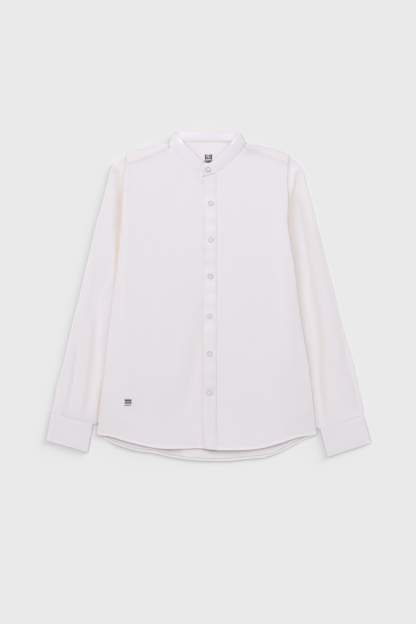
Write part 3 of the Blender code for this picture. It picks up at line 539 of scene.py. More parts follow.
def swell(x, y):
    """The same for the fronts, which rise over the sleeves in one broad soft slope."""
    share = np.zeros_like(x)
    for first, second, above in inside_sleeves(x, y):
        depth = -SWELL_BLEND * np.logaddexp(-first / SWELL_BLEND, -second / SWELL_BLEND)
        rise = ease((depth + SWELL_START) / SWELL_START)
        share = np.maximum(share, rise * ease((above + SLOPE_FADE) / SWELL_FADE))
    return share


def under(x, y):
    """The body's lowest surface: the outside of the back."""
    return BODY_RISE * over_sleeve(x, y)


def edge_distance(x, y):
    return np.minimum(x - left_edge(y), right_edge(y) - x)


def over(x, y):
    """The fronts' outer surface and its painted warm shade."""
    share = swell(x, y)
    inside = edge_distance(x, y)
    loft = FRONT_LOFT * (1.0 - share) * ease(inside / LOFT_REACH)
    creases, warmth = relief(FRONT_CREASES, x, y)
    waves, _ = relief(HEM_WAVES, x, y)
    soft = 0.16 * ripple(x, y, 85.0, 3) + 0.06 * ripple(x, y, 30.0, 4)
    fade = ease(inside / CALM_EDGE)
    height = BODY_RISE * share + PLAIN + SIDE_FOLD_HEIGHT + loft + (creases + soft) * fade
    height += waves * ease(inside / CALM_HEM)
    height += hem_pucker(x, y)
    return height, warmth * fade


def underlap(x, y):
    """How far the right front dips to pass below the left one."""
    neck = ease((y - NECK_DIP[0]) / (NECK_DIP[1] - NECK_DIP[0]))
    start, end = (mix(low, high, neck) for low, high in zip(UNDERLAP_SLOPE, UNDERLAP_AT_NECK))
    return UNDERLAP_DROP * ease((x - start) / (end - start))


def hem_pucker(x, y):
    """The turned hem: a soft ridge with uneven puckers where it is sewn."""
    up = y - front_hem(x)
    waves = 0.2 * ripple(x, x * 0, PUCKER, 9) * bell(up, PUCKER)
    return 0.25 * bell(up - HEM_RIDGE, HEM_RIDGE) - 0.22 * bell(up - HEM_SEAM, 1.6) + waves


def lift_at(x, y, rise=0.0):
    """Points on the fronts' outer surface, a little above it."""
    x, y = np.asarray(x, float), np.asarray(y, float)
    return np.stack((x, y, over(x, y)[0] + rise), axis=-1)


# -------------------- meshes

def frame_shift():
    """From the tables' place to the solids': both know the first placket button."""
    low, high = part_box("button_2")
    middle = (low + high) / 2
    first = PLACKET_BUTTONS[0]
    return np.array((middle.x - first.x * MM, middle.y - first.y * MM, 0.0))


SHIFT = frame_shift()


def painted_shade_at(x, y):
    """Painted shade: how much darker the cloth is at each point, more towards the hem, and here and
    there.
    """
    down = np.interp(y, column(PAINTED_SHADE_DOWN, "y"), column(PAINTED_SHADE_DOWN, "share"))
    for spot in PAINTED_SHADE_SPOTS:
        down = down + spot.share * np.exp(-((x - spot.x) / spot.wide) ** 2
                                          - ((y - spot.y) / spot.high) ** 2)
    return down


def beside_edge(y, side):
    """The painted light and shade along one side of the body, read at each y."""
    rows = RIGHT_EDGE_SHADING if side < 0 else LEFT_EDGE_SHADING
    at = column(rows, "y")
    return EdgeRow(*(np.interp(y, at, column(rows, name)) for name in EdgeRow._fields))


def set_values(mesh, name, values):
    """One number for each point of a mesh, for its material to read."""
    layer = mesh.attributes.new(name, "FLOAT", "POINT")
    layer.data.foreach_set("value", np.asarray(values, np.float32))


def keep_rim_sharp(mesh):
    """Marks the edges of only one face, so that a cut edge doesn't bend the shading beside it."""
    edges = np.zeros(len(mesh.loops), np.int32)
    mesh.loops.foreach_get("edge_index", edges)
    rim = np.bincount(edges, minlength=len(mesh.edges)) == 1
    mesh.attributes.new("sharp_edge", "BOOLEAN", "EDGE").data.foreach_set("value", rim)


def put(name, data):
    """A new object in the scene."""
    item = bpy.data.objects.new(name, data)
    bpy.context.scene.collection.objects.link(item)
    return item


def make_object(name, points, faces, material, maps=None, warmth=None, light=None):
    """A smooth-shaded mesh of the points that its faces use, in millimetres. maps gives each
    point's place on the cloth, warmth how much warm shade is painted on it and light how much
    brighter it is painted than the cloth around it, against the painted shade that every point
    gets."""
    used, corners = np.unique(faces, return_inverse=True)
    points = points.reshape(-1, 3)[used]
    mesh = bpy.data.meshes.new(name)
    mesh.from_pydata((points * MM + SHIFT).tolist(), [], corners.reshape(faces.shape).tolist())
    grey = painted_shade_at(points[:, 0], points[:, 1])
    set_values(mesh, "grey", grey if light is None else grey - light.ravel()[used])
    if maps is not None:
        places = maps.reshape(-1, 2)[faces.ravel()].astype(np.float32)
        mesh.uv_layers.new(name="cloth").data.foreach_set("uv", places.ravel())
    if warmth is not None:
        set_values(mesh, "warmth", np.clip(warmth.ravel()[used], 0, 1))
    mesh.shade_smooth()
    mesh.validate()
    keep_rim_sharp(mesh)
    mesh.materials.append(material)
    return put(name, mesh)


def grid_faces(rows, columns, around=False, keep=None, flip=False):
    i, j = np.meshgrid(np.arange(rows - 1), np.arange(columns if around else columns - 1),
                       indexing="ij")
    k = (j + 1) % columns
    quads = np.stack((i * columns + j, (i + 1) * columns + j, (i + 1) * columns + k,
                      i * columns + k), axis=-1)
    if keep is not None:
        quads = quads[keep(i, j)]
    if flip:
        quads = quads[..., ::-1]
    return quads.reshape(-1, 4)


def shell(name, grid, thickness, material, around=False, keep=None, flip=False, maps=None,
          warmth=None, light=None):
    """Thin cloth: a grid of outer points, thickened to its inside."""
    rows, columns = grid.shape[:2]
    faces = grid_faces(rows, columns, around, keep, flip)
    if maps is None:
        maps = grid[..., :2]
    piece = make_object(name, grid, faces, material, maps, warmth, light)
    wall = piece.modifiers.new("cloth", "SOLIDIFY")
    wall.thickness = thickness
    wall.offset = -1.0
    return piece


def normals(grid, around=False):
    """Unit normals of a grid of points, to the side that shell() faces."""
    down = np.gradient(grid, axis=0)
    if around:
        side = (np.roll(grid, -1, axis=1) - np.roll(grid, 1, axis=1)) / 2
    else:
        side = np.gradient(grid, axis=1)
    cross = np.cross(down, side)
    return cross / np.maximum(np.linalg.norm(cross, axis=-1, keepdims=True), 1e-9)


def slab(name, grid, thickness, material, around=False, maps=None, warmth=None, light=None,
         edges=None):
    """Doubled cloth: a grid of middle points with round edges. edges is how thick each point is, 0
    at the rim and 1 inside."""
    rows, columns = grid.shape[:2]
    out = normals(grid, around)
    half = thickness / 2
    if edges is None:
        edges = rim_profile(grid, half, around)
    top = grid + out * (half * edges)[..., None]
    bottom = grid - out * (half * edges)[..., None]
    points = np.concatenate((top.reshape(-1, 3), bottom.reshape(-1, 3)))
    faces = grid_faces(rows, columns, around)
    lower = faces[:, ::-1] + rows * columns
    rim = edges.ravel() <= 0
    index = np.arange(2 * rows * columns)
    index[rows * columns:][rim] = np.arange(rows * columns)[rim]
    faces = index[np.concatenate((faces, lower))]
    if maps is None:
        maps = grid[..., :2]
    both = [None if values is None else np.concatenate((values, values))
            for values in (maps, warmth, light)]
    return make_object(name, points, faces, material, *both)


def round_edge(near, radius):
    """Share of the full thickness at points near a rim, from their distances to it."""
    inward = np.clip(1.0 - near / radius, 0.0, 1.0)
    return np.sqrt(np.maximum(1.0 - inward ** 2, 0.0))


def rim_profile(grid, radius, around=False):
    """Share of the full thickness at each point of a slab, 0 on its rim, from the distances."""
    step_down = np.linalg.norm(np.diff(grid, axis=0), axis=-1).mean(axis=1)
    down = np.concatenate(([0.0], np.cumsum(step_down)))
    near = np.minimum(down, down[-1] - down)[:, None] * np.ones(grid.shape[1])
    if not around:
        step_side = np.linalg.norm(np.diff(grid, axis=1), axis=-1).mean(axis=0)
        side = np.concatenate(([0.0], np.cumsum(step_side)))
        near = np.minimum(near, np.minimum(side, side[-1] - side)[None, :])
    return round_edge(near, radius)


def rim_steps(radius):
    """Places near a rim at which a rounded edge needs points."""
    return [radius * (1 - math.cos(math.radians(a))) for a in (28, 50, 70, 90)]


def run_along(path):
    """How far along a path each of its points is."""
    return np.concatenate(([0.0], np.cumsum(np.linalg.norm(np.diff(path, axis=0), axis=1))))


def resample(path, step):
    """Points about a step apart along a path."""
    path = np.asarray(path, float)
    run = run_along(path)
    count = max(int(round(run[-1] / step)), 1)
    places = np.linspace(0.0, run[-1], count + 1)
    return np.stack([np.interp(places, run, path[:, k]) for k in range(3)], axis=1)


STITCH_REACH = 0.39     # from a stitch's middle to its end, as a share of the step
STITCH_RISE = 0.55      # its top above its line and its bottom below, as shares of its width
STITCH_SINK = 0.4
STITCH_FACES = (        # its ends are corners 0 and 1, its sides 2 and 3, its top 4, its bottom 5
    (0, 3, 4), (3, 1, 4), (1, 2, 4), (2, 0, 4), (3, 0, 5), (1, 3, 5), (2, 1, 5), (0, 2, 5),
)


def sew(name, runs):
    """Stitches along paths, all in one mesh. Each run is its points and its outward directions."""
    sizes = bpy.context.scene.shirt_sizes
    step, width = sizes.stitch / MM, sizes.thread / MM
    points, faces = [], []
    for path, up in runs:
        places = resample(path, step)
        start, end = places[:-1], places[1:]
        way = end - start
        size = np.linalg.norm(way, axis=1, keepdims=True)
        way = way / np.maximum(size, 1e-9)
        up = np.broadcast_to(up, way.shape) if np.ndim(up) == 1 else carry(path, up, len(way))
        side = np.cross(up, way)
        side /= np.maximum(np.linalg.norm(side, axis=1, keepdims=True), 1e-9)
        middle = (start + end) / 2
        reach = way * size * STITCH_REACH
        corners = (middle - reach, middle + reach, middle + side * width / 2,
                   middle - side * width / 2, middle + up * width * STITCH_RISE,
                   middle - up * width * STITCH_SINK)
        base = sum(len(done) for done in points)
        points.append(np.stack(corners, axis=1).reshape(-1, 3))
        first = base + len(corners) * np.arange(len(way))[:, None]
        for face in STITCH_FACES:
            faces.append(first + np.array(face))
    return make_object(name, np.concatenate(points), np.concatenate(faces),
                       get_material("sewing_thread"))


def carry(path, values, count):
    """Values known along a path, read half way along each of count equal steps."""
    run = run_along(path)
    at = np.linspace(0.0, run[-1], 2 * count + 1)[1::2]
    return np.stack([np.interp(at, run, values[:, k]) for k in range(3)], axis=1)


UP = np.array((0.0, 0.0, 1.0))


def rule(piece, node, slot, flat=None, area=None, rests_on=(), extras=()):
    """Gives a piece and what is sewn on it their body, and hides the piece's solid."""
    for item in (piece, *extras):
        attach(item, BODY)
    if node:
        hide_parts(node)
    if flat:
        list(rests_on)
        list(extras)


# -------------------- materials

class Wire:
    """A shader value whose arithmetic adds the nodes that work it out."""

    def __init__(self, shader, socket):
        self.shader = shader
        self.socket = socket

    def work(self, operation, first, second=0.0):
        return self.shader.add("ShaderNodeMath", {"operation": operation}, {0: first, 1: second})

    def __add__(self, other):
        return self.work("ADD", self, other)

    def __radd__(self, other):
        return self.work("ADD", other, self)

    def __sub__(self, other):
        return self.work("SUBTRACT", self, other)

    def __rsub__(self, other):
        return self.work("SUBTRACT", other, self)

    def __mul__(self, other):
        return self.work("MULTIPLY", self, other)

    def __rmul__(self, other):
        return self.work("MULTIPLY", other, self)

    def __lt__(self, other):
        return self.work("LESS_THAN", self, other)

    def __gt__(self, other):
        return self.work("GREATER_THAN", self, other)

    def sine(self):
        return self.work("SINE", self)

    def size(self):
        return self.work("ABSOLUTE", self)


class Shader:
    """One material and the nodes added to it."""

    def __init__(self, name, **values):
        self.material = bpy.data.materials.new(name)
        self.material.use_nodes = True
        self.tree = self.material.node_tree
        self.surface = self.tree.nodes["Principled BSDF"]
        for label, value in values.items():
            self.surface.inputs[label.replace("_", " ")].default_value = value

    def add(self, kind, settings=None, inputs=None, output=0):
        node = self.tree.nodes.new(kind)
        for label, value in (settings or {}).items():
            setattr(node, label, value)
        for label, value in (inputs or {}).items():
            self.join(value, node.inputs[label])
        return Wire(self, node.outputs[output])

    def join(self, value, socket):
        if isinstance(value, Wire):
            self.tree.links.new(value.socket, socket)
        else:
            socket.default_value = value

    def feed(self, label, value):
        self.join(value, self.surface.inputs[label])

    def blend(self, share, first, second):
        return self.add("ShaderNodeMix", {"data_type": "RGBA"}, {0: share, 6: first, 7: second}, 2)

    def dim(self, colour, share):
        """A colour times a number."""
        return self.add("ShaderNodeVectorMath", {"operation": "SCALE"}, {0: colour, 3: share})

    def spread(self, name):
        """The number that a mesh gives each of its points."""
        return self.add("ShaderNodeAttribute", {"attribute_name": name}, None, 2)

    def cloth_place(self):
        """Millimetres across and along the cloth."""
        return self.x_and_y(self.add("ShaderNodeUVMap", {"uv_map": "cloth"}))

    def own_place(self):
        """Metres along the piece's own axes."""
        return self.add("ShaderNodeTexCoord", None, None, 3)

    def x_and_y(self, place):
        return [self.add("ShaderNodeSeparateXYZ", None, {0: place}, k) for k in (0, 1)]

    def weave(self, u, v, pitch):
        """Over and under of a plain weave, between -1 and 1."""
        turn = math.pi / (pitch / MM)
        return (u * turn).sine() * (v * turn).sine()

    def grain(self, place, scale, detail=2.0):
        return self.add("ShaderNodeTexNoise", None,
                        {"Vector": place, "Scale": scale, "Detail": detail})

    def noise(self, u, v, detail=2.0):
        where = self.add("ShaderNodeCombineXYZ", None, {0: u, 1: v})
        return self.add("ShaderNodeTexNoise", {"noise_dimensions": "2D"},
                        {"Vector": where, "Scale": 1.0, "Detail": detail})

    def bump(self, height, distance, strength):
        self.feed("Normal", self.add("ShaderNodeBump", None, {
            "Height": height, "Distance": distance, "Strength": strength}))


def rgba(colour, share=1.0):
    return (colour[0] * share, colour[1] * share, colour[2] * share, 1.0)


def woven(name, colour, warm, pitch, slub):
    """Fine plain weave with thicker threads here and there, and the painted warm shade, light and
    shade that its mesh gives.
    """
    shader = Shader(name, Roughness=0.86, Sheen_Weight=0.12, Sheen_Roughness=0.6,
                    Specular_IOR_Level=0.25)
    u, v = shader.cloth_place()
    weave = shader.weave(u, v, pitch) * 0.5 + 0.5
    long_slub = shader.noise(u * 0.035, v * 0.9, 3.0)
    cross_slub = shader.noise(u * 0.9, v * 0.03, 3.0)
    threads = long_slub * 0.55 + cross_slub * 0.45
    cloud = shader.noise(u * 0.02, v * 0.02)
    shade = shader.blend(threads * slub, rgba(colour, 1.012), rgba(colour, 0.955))
    shade = shader.blend(cloud * 0.35, shade, rgba(colour, 0.985))
    shade = shader.blend(shader.spread("warmth"), shade, rgba(warm))
    shader.feed("Base Color", shader.dim(shade, 1.0 - shader.spread("grey")))
    shader.feed("Roughness", threads * 0.1 + 0.8)
    shader.bump(weave * 0.4 + threads * 0.9, 0.00018, 0.5)
    return shader.material


def printed(name, colour, ink, pitch, bars):
    """Close-woven tape with plain bars; bars gives each one's middle and half size."""
    shader = Shader(name, Roughness=0.8, Specular_IOR_Level=0.25)
    u, v = shader.cloth_place()
    weave = shader.weave(u, v, pitch)
    mask = 0.0
    for bar in bars:
        mask = ((u - bar.x).size() < bar.half_x) * ((v - bar.y).size() < bar.half_y) + mask
    worn = shader.noise(u * 1.1, v * 1.1, 3.0)
    shade = shader.blend(worn * 0.4, rgba(colour), rgba(colour, 0.94))
    shader.feed("Base Color", shader.blend(mask * (1.0 - worn * 0.18), shade, rgba(ink)))
    shader.feed("Roughness", 0.84 - mask * 0.12)
    shader.bump(weave * 0.4 + worn * 0.5, 0.00012, 0.5)
    return shader.material


def inked(name, colour, ink, share):
    """Cloth that print covers in part."""
    shader = Shader(name, Roughness=0.8, Specular_IOR_Level=0.25)
    worn = shader.grain(shader.own_place(), 900.0, 3.0)
    shader.feed("Base Color", shader.blend(share - worn * 0.12, rgba(colour), rgba(ink)))
    return shader.material


def resin(name, colour, rim):
    shader = Shader(name, Roughness=0.28, Coat_Weight=0.25, Coat_Roughness=0.15,
                    Subsurface_Weight=0.2, Subsurface_Scale=0.002)
    place = shader.own_place()
    cloud = shader.grain(place, 260.0)
    x, y = shader.x_and_y(place)
    # painted shade: a darker ring round the button's rim
    outer = (x * x + y * y) > (BUTTON_SHADE_RIM * MM) ** 2
    disc = shader.blend(cloud, rgba(colour, 0.95), rgba(colour, 1.04))
    shader.feed("Base Color", shader.blend(outer, disc, rgba(rim)))
    shader.feed("Roughness", cloud * 0.15 + 0.22)
    return shader.material


def spun(name, colour):
    shader = Shader(name, Roughness=0.7, Sheen_Weight=0.2)
    twist = shader.grain(shader.own_place(), 2200.0)
    shader.feed("Base Color", shader.blend(twist, rgba(colour, 0.94), rgba(colour, 1.03)))
    shader.bump(twist, 0.0001, 0.4)
    return shader.material


def plain_floor(name, colour):
    shader = Shader(name, Roughness=0.9, Specular_IOR_Level=0.1)
    grain = shader.grain(shader.own_place(), 4.0, 3.0)
    shader.feed("Base Color", shader.blend(grain, rgba(colour, 0.998), rgba(colour, 1.002)))
    return shader.material


BUTTON_SHADE_RIM = 3.7        # radius from which a button gets its painted ring of shade
Bar = namedtuple("Bar", "x y half_x half_y ink", defaults=("dark_ink",))
# From the patch's middle
PATCH_BARS = rows_of(
    Bar, (1.0, 4.2, 8.0, 2.6), (1.0, -1.4, 8.0, 2.0), (0.0, -6.6, 8.0, 1.1),
)
NECK_BARS = rows_of(
    Bar, (-7.0, 318.1, 1.3, 6.2), (5.9, 318.1, 1.3, 6.2), (-0.5, 318.1, 4.4, 5.0, "pale_ink"),
    (-1.0, 308.0, 6.0, 2.7, "grey_ink"), (-8.9, 308.4, 1.5, 2.2, "pale_ink"),
    (7.0, 308.4, 1.6, 2.2, "pale_ink"), (-2.0, 303.2, 2.2, 1.4, "pale_ink"),
)


def get_material(name):
    """A finish by its name, made when a piece first needs it."""
    found = bpy.data.materials.get(name)
    if found:
        return found
    sizes, colours = bpy.context.scene.shirt_sizes, bpy.context.scene.shirt_colours
    makers = {
        "shirting": lambda: woven(name, colours.cloth, colours.warm, sizes.weave, 0.5),
        "interlined_shirting": lambda: woven(name, colours.interlined, colours.warm, sizes.weave,
                                             0.35),
        "patch_tape": lambda: printed(name, colours.patch, colours.print, sizes.weave, PATCH_BARS),
        "dark_ink": lambda: inked(name, colours.cloth, colours.print, 1.0),
        "grey_ink": lambda: inked(name, colours.cloth, colours.print, 0.84),
        "pale_ink": lambda: inked(name, colours.cloth, colours.print, 0.44),
        "pale_resin": lambda: resin(name, colours.button, colours.button_rim),
        "sewing_thread": lambda: spun(name, colours.thread),
        "pale_floor": lambda: plain_floor(name, colours.floor),
    }
    return makers[name]()


# -------------------- fronts, back and yoke

def side_roll():
    """Distances in from a side edge through its roll, and how far each is through it."""
    turns = np.radians(np.array((0, 15, 32, 50, 70)))
    return list(zip(SIDE_ROLL * (1 - np.cos(turns)), np.sin(turns)))


def tuck(x):
    """How far a front goes on past its top line."""
    return mix(TUCK, COLLAR_TUCK, ease((NECK_HALF - np.abs(x - NECK_MIDDLE)) / 6.0))


def front_grid(top, edge, free, step):
    """Places of one front, from its side edge to its free edge and from its top seam to its hem,
    and how far through the side roll each is."""
    inward = 1.0 if free > edge(BODY_TOP) else -1.0
    width = abs(free - float(edge(BODY_FOOT))) - SIDE_ROLL
    lines = [(0.0, away, lift) for away, lift in side_roll()]
    lines += [(share, SIDE_ROLL, 1.0) for share in spaced(width, step) / width]
    height = abs(BODY_FOOT - BODY_TOP)
    down = spaced(height, step, (0.6, 1.2, 2.0)) / height

    def place(y, share, away):
        return mix(edge(y) + inward * away, free, share)

    xs, ys, lifts = [], [], []
    for share, away, lift in lines:
        x_top = place(BODY_TOP, share, away)
        y_hem = front_hem(place(BODY_FOOT, share, away))
        y = mix(top(x_top) + tuck(x_top), y_hem, down)
        xs.append(place(y, share, away))
        ys.append(y)
        lifts.append(np.full_like(y, lift))
    x, y, lift = (np.stack(item, axis=1) for item in (xs, ys, lifts))
    if inward < 0:
        x, y, lift = (item[:, ::-1] for item in (x, y, lift))
    return x, y, lift


def front_surface(x, y, lift, dip=False):
    top, warmth = over(x, y)
    bottom = under(x, y)
    middle = (top + bottom) / 2
    z = mix(middle, top, lift)
    if dip:
        z = z - underlap(x, y)
    return np.stack((x, y, z), axis=-1), warmth


def face_areas(grid):
    """Area of each face of a grid of points, in square metres."""
    a = grid[1:, 1:] - grid[:-1, :-1]
    b = grid[1:, :-1] - grid[:-1, 1:]
    return np.linalg.norm(np.cross(a, b), axis=-1) / 2 * MM * MM


def cut_of(grid, around=False):
    """Width, length and area of the flat cut of a grid of points, in metres."""
    ring = np.concatenate((grid, grid[:, :1]), axis=1) if around else grid
    width = np.linalg.norm(np.diff(ring, axis=1), axis=-1).sum(axis=1).max() * MM
    long = np.linalg.norm(np.diff(grid, axis=0), axis=-1).sum(axis=0).max() * MM
    width, long = math.ceil(width * 1e4) / 1e4, math.ceil(long * 1e4) / 1e4
    return (width, long), min(float(face_areas(ring).sum()), width * long)


# Each front's top line, its side and free edges, the ends of its hem's stitches, and how much
# warm shade is painted below the yoke's seam
Front = namedtuple("Front", "name side top edge free hem_start hem_end warm")
FRONTS = (
    Front("front_right", -1, RIGHT_TOP, left_edge, UNDERLAP_EDGE, -250, PLACKET_EDGE - 1, 0.25),
    Front("front_left", 1, LEFT_TOP, right_edge, PLACKET_EDGE + UNDER_PLACKET, 20, 242, 0.08),
)
HEM_LIGHT = 0.05        # painted light: how much brighter a front is where its hem lies double
YOKE_SHADE = 0.05       # painted shade: how much darker it is below the yoke's seam, and how far down
YOKE_SHADE_REACH = 8.0
YOKE_WARM_SHADE_REACH = 2.5
PLACKET_SHADE_WARMTH = 0.22     # how much painted warm shade the right front gets beside the placket, and over what width
PLACKET_SHADE_REACH = 1.6
PLACKET_SHADE_TOP = 20.0     # it starts here and has all its painted warm shade after the next length
PLACKET_SHADE_FADE = 60.0


class SHIRT_OT_fronts(bpy.types.Operator):
    """Both fronts, each with its side roll, creases, turned hem and sewing"""
    bl_idname = "shirt.fronts"
    bl_label = "Fronts"

    def execute(self, context):
        sizes = context.scene.shirt_sizes
        cloth = get_material("shirting")
        hem = sizes.hem / MM
        for front in FRONTS:
            x, y, lift = front_grid(across(front.top), front.edge, front.free, sizes.grid / MM)
            grid, warmth = front_surface(x, y, lift, front.side < 0)
            warmth, light = self.painted_shading(front, x, y, warmth, hem)
            piece = shell(front.name + "_cloth", grid, sizes.cloth, cloth, warmth=warmth,
                          light=light)
            hem_x = np.linspace(front.hem_start, front.hem_end, 160)
            hem_y = front_hem(hem_x) + hem - HEM_INSET
            sewn = sew(front.name + "_hem_stitches", [(lift_at(hem_x, hem_y, 0.1), UP)])
            rule(piece, front.name, "shirt_cloth", *cut_of(grid), ["back"], [sewn])
        return {"FINISHED"}

    @staticmethod
    def painted_shading(front, x, y, warmth, hem):
        """Painted warm shade and painted light: brighter where the hem lies double and on creases,
        painted shade along the side edge and the yoke's seam, and warm shade beside the placket."""
        turned = ease((front_hem(x) + hem - y) / 1.2 + 0.5)
        edge = beside_edge(y, front.side)
        beside = edge.inside * bell(edge_distance(x, y), edge.fade)
        light = HEM_LIGHT * turned + beside + FRONT_CREASE_LIGHT * relief(FRONT_CREASES, x, y)[0]
        down = across(front.top)(x) - y
        shoulder = ease((np.abs(x - NECK_MIDDLE) - NECK_HALF + 6) / 8)
        light -= YOKE_SHADE * shoulder * bell(down, YOKE_SHADE_REACH)
        if front.side < 0:
            line = bell(x - PLACKET_EDGE + PLACKET_SHADE_REACH, PLACKET_SHADE_REACH)
            warmth += PLACKET_SHADE_WARMTH * line * ease((PLACKET_SHADE_TOP - y) / PLACKET_SHADE_FADE)
        warmth += front.warm * shoulder * bell(down, YOKE_WARM_SHADE_REACH)
        return warmth, light


BACK_COLUMNS = 4.0      # distance between the back's points across it
CLOSE_ROWS = 70.0       # its rows are closer together this far up from its hem
HEM_TURN = 0.7          # thickness of the hem's turned band
HEM_TURN_RISE = 0.85    # its middle above the back's outer side, and the stitches on it
HEM_STITCH_RISE = 1.15
HEM_HALF = 240.0        # half the width over which it shows
CURL = 1.9              # how far the hem's free edge stands off the floor
CURL_HALF = 235.0
CURL_REACH = 13.0


class SHIRT_OT_back(bpy.types.Operator):
    """The back, flat where it rests and rolled up at the side seams, with its turned hem"""
    bl_idname = "shirt.back"
    bl_label = "Back"

    def execute(self, context):
        sizes = context.scene.shirt_sizes
        cloth = get_material("shirting")
        grid = self.surface(sizes.hidden_grid / MM)
        x = grid[..., 0]
        below = front_hem(x) - grid[..., 1]
        # Painted warm shade and painted shadow on the back just below the front hem
        warmth = 0.6 * bell(below, 3.0)
        dark, reach = (np.interp(x, column(HEM_SHADE, "x"), column(HEM_SHADE, name))
                       for name in ("dark", "reach"))
        light = -dark * bell(np.maximum(below, 0.0), reach)
        piece = shell("back_cloth", grid, sizes.cloth, cloth, flip=True, warmth=warmth, light=light)

        depth = sizes.hem / MM
        hem_x = spaced(2 * HEM_HALF, 3.0) - HEM_HALF
        rows = []
        for share in (0.0, 0.12, 0.3, 0.6, 0.85, 1.0):
            hem_y = back_hem(hem_x) + 0.3 + share * depth
            rise = HEM_TURN_RISE + 0.1 * ripple(hem_x, hem_y, 12.0, 12)
            rows.append(self.on_back(hem_x, hem_y, rise))
        band = slab("back_hem_turn", np.stack(rows[::-1]), HEM_TURN, cloth)
        seam = self.on_back(hem_x, back_hem(hem_x) + depth - 0.8, HEM_STITCH_RISE)
        sewn = sew("back_hem_stitches", [(seam, UP)])
        rule(piece, "back", "shirt_cloth", *cut_of(grid), [], [band, sewn])
        return {"FINISHED"}

    def surface(self, step):
        """Outer side of the back, from one side fold to the other and from the yoke to the hem."""
        rolls = side_roll()
        top_y, foot_y = BACK_YOKE_SEAM[0].y, BODY_FOOT
        width = float(right_edge(foot_y) - left_edge(foot_y)) - 2 * SIDE_ROLL
        lines = [(0.0, away, lift) for away, lift in rolls]
        lines += [(share, SIDE_ROLL, 1.0) for share in spaced(width, BACK_COLUMNS) / width]
        lines += [(1.0, away, lift) for away, lift in reversed(rolls)]

        def place(y, share, away):
            return mix(left_edge(y) + away, right_edge(y) - away, share)

        height = top_y - foot_y
        open_rows = height - CLOSE_ROWS
        down = (spaced(open_rows, step), open_rows + spaced(CLOSE_ROWS, 2.0)[1:])
        down = np.concatenate(down) / height
        columns = []
        for share, away, lift in lines:
            y_top = back_yoke_seam(place(top_y, share, away))
            y = mix(y_top, back_hem(place(foot_y, share, away)), down)
            x = place(y, share, away)
            bottom = under(x, y)
            middle = (over(x, y)[0] + bottom) / 2
            columns.append(np.stack((x, y, mix(middle, bottom, lift)), axis=1))
        grid = np.stack(columns, axis=1)
        grid[..., 2] += self.curl(grid[..., 0], grid[..., 1])
        return grid

    @staticmethod
    def curl(x, y):
        """The hem's free edge stands a little off the floor, more in some places than in others."""
        along = CURL + 0.8 * ripple(x, x * 0, 90.0, 14)
        middle = ease((CURL_HALF - np.abs(x - NECK_MIDDLE)) / 40)
        return along * middle * bell(y - back_hem(x), CURL_REACH)

    def on_back(self, x, y, rise):
        return np.stack((x, y, under(x, y) + self.curl(x, y) + rise), axis=1)


YOKE_BACK = 110.0       # about how far the yoke goes up the back
YOKE_RISE = 0.12        # how far it lies above the fronts
YOKE_CORNER = 322.0     # y at which its side edge turns over the shoulder
YOKE_ROLL = (296.0, 308.0)      # y between which that edge leaves the body's side roll
YOKE_STEP = 0.7         # distance between its columns at that edge
YOKE_LOW = 2.0          # it is lower than this inside the neck
TURN_POINTS = 9         # over the shoulder
TURN_START = 2.4        # how far behind the shoulder's edge it starts to turn
TURN_REACH = 2.9        # and how far it bulges from there


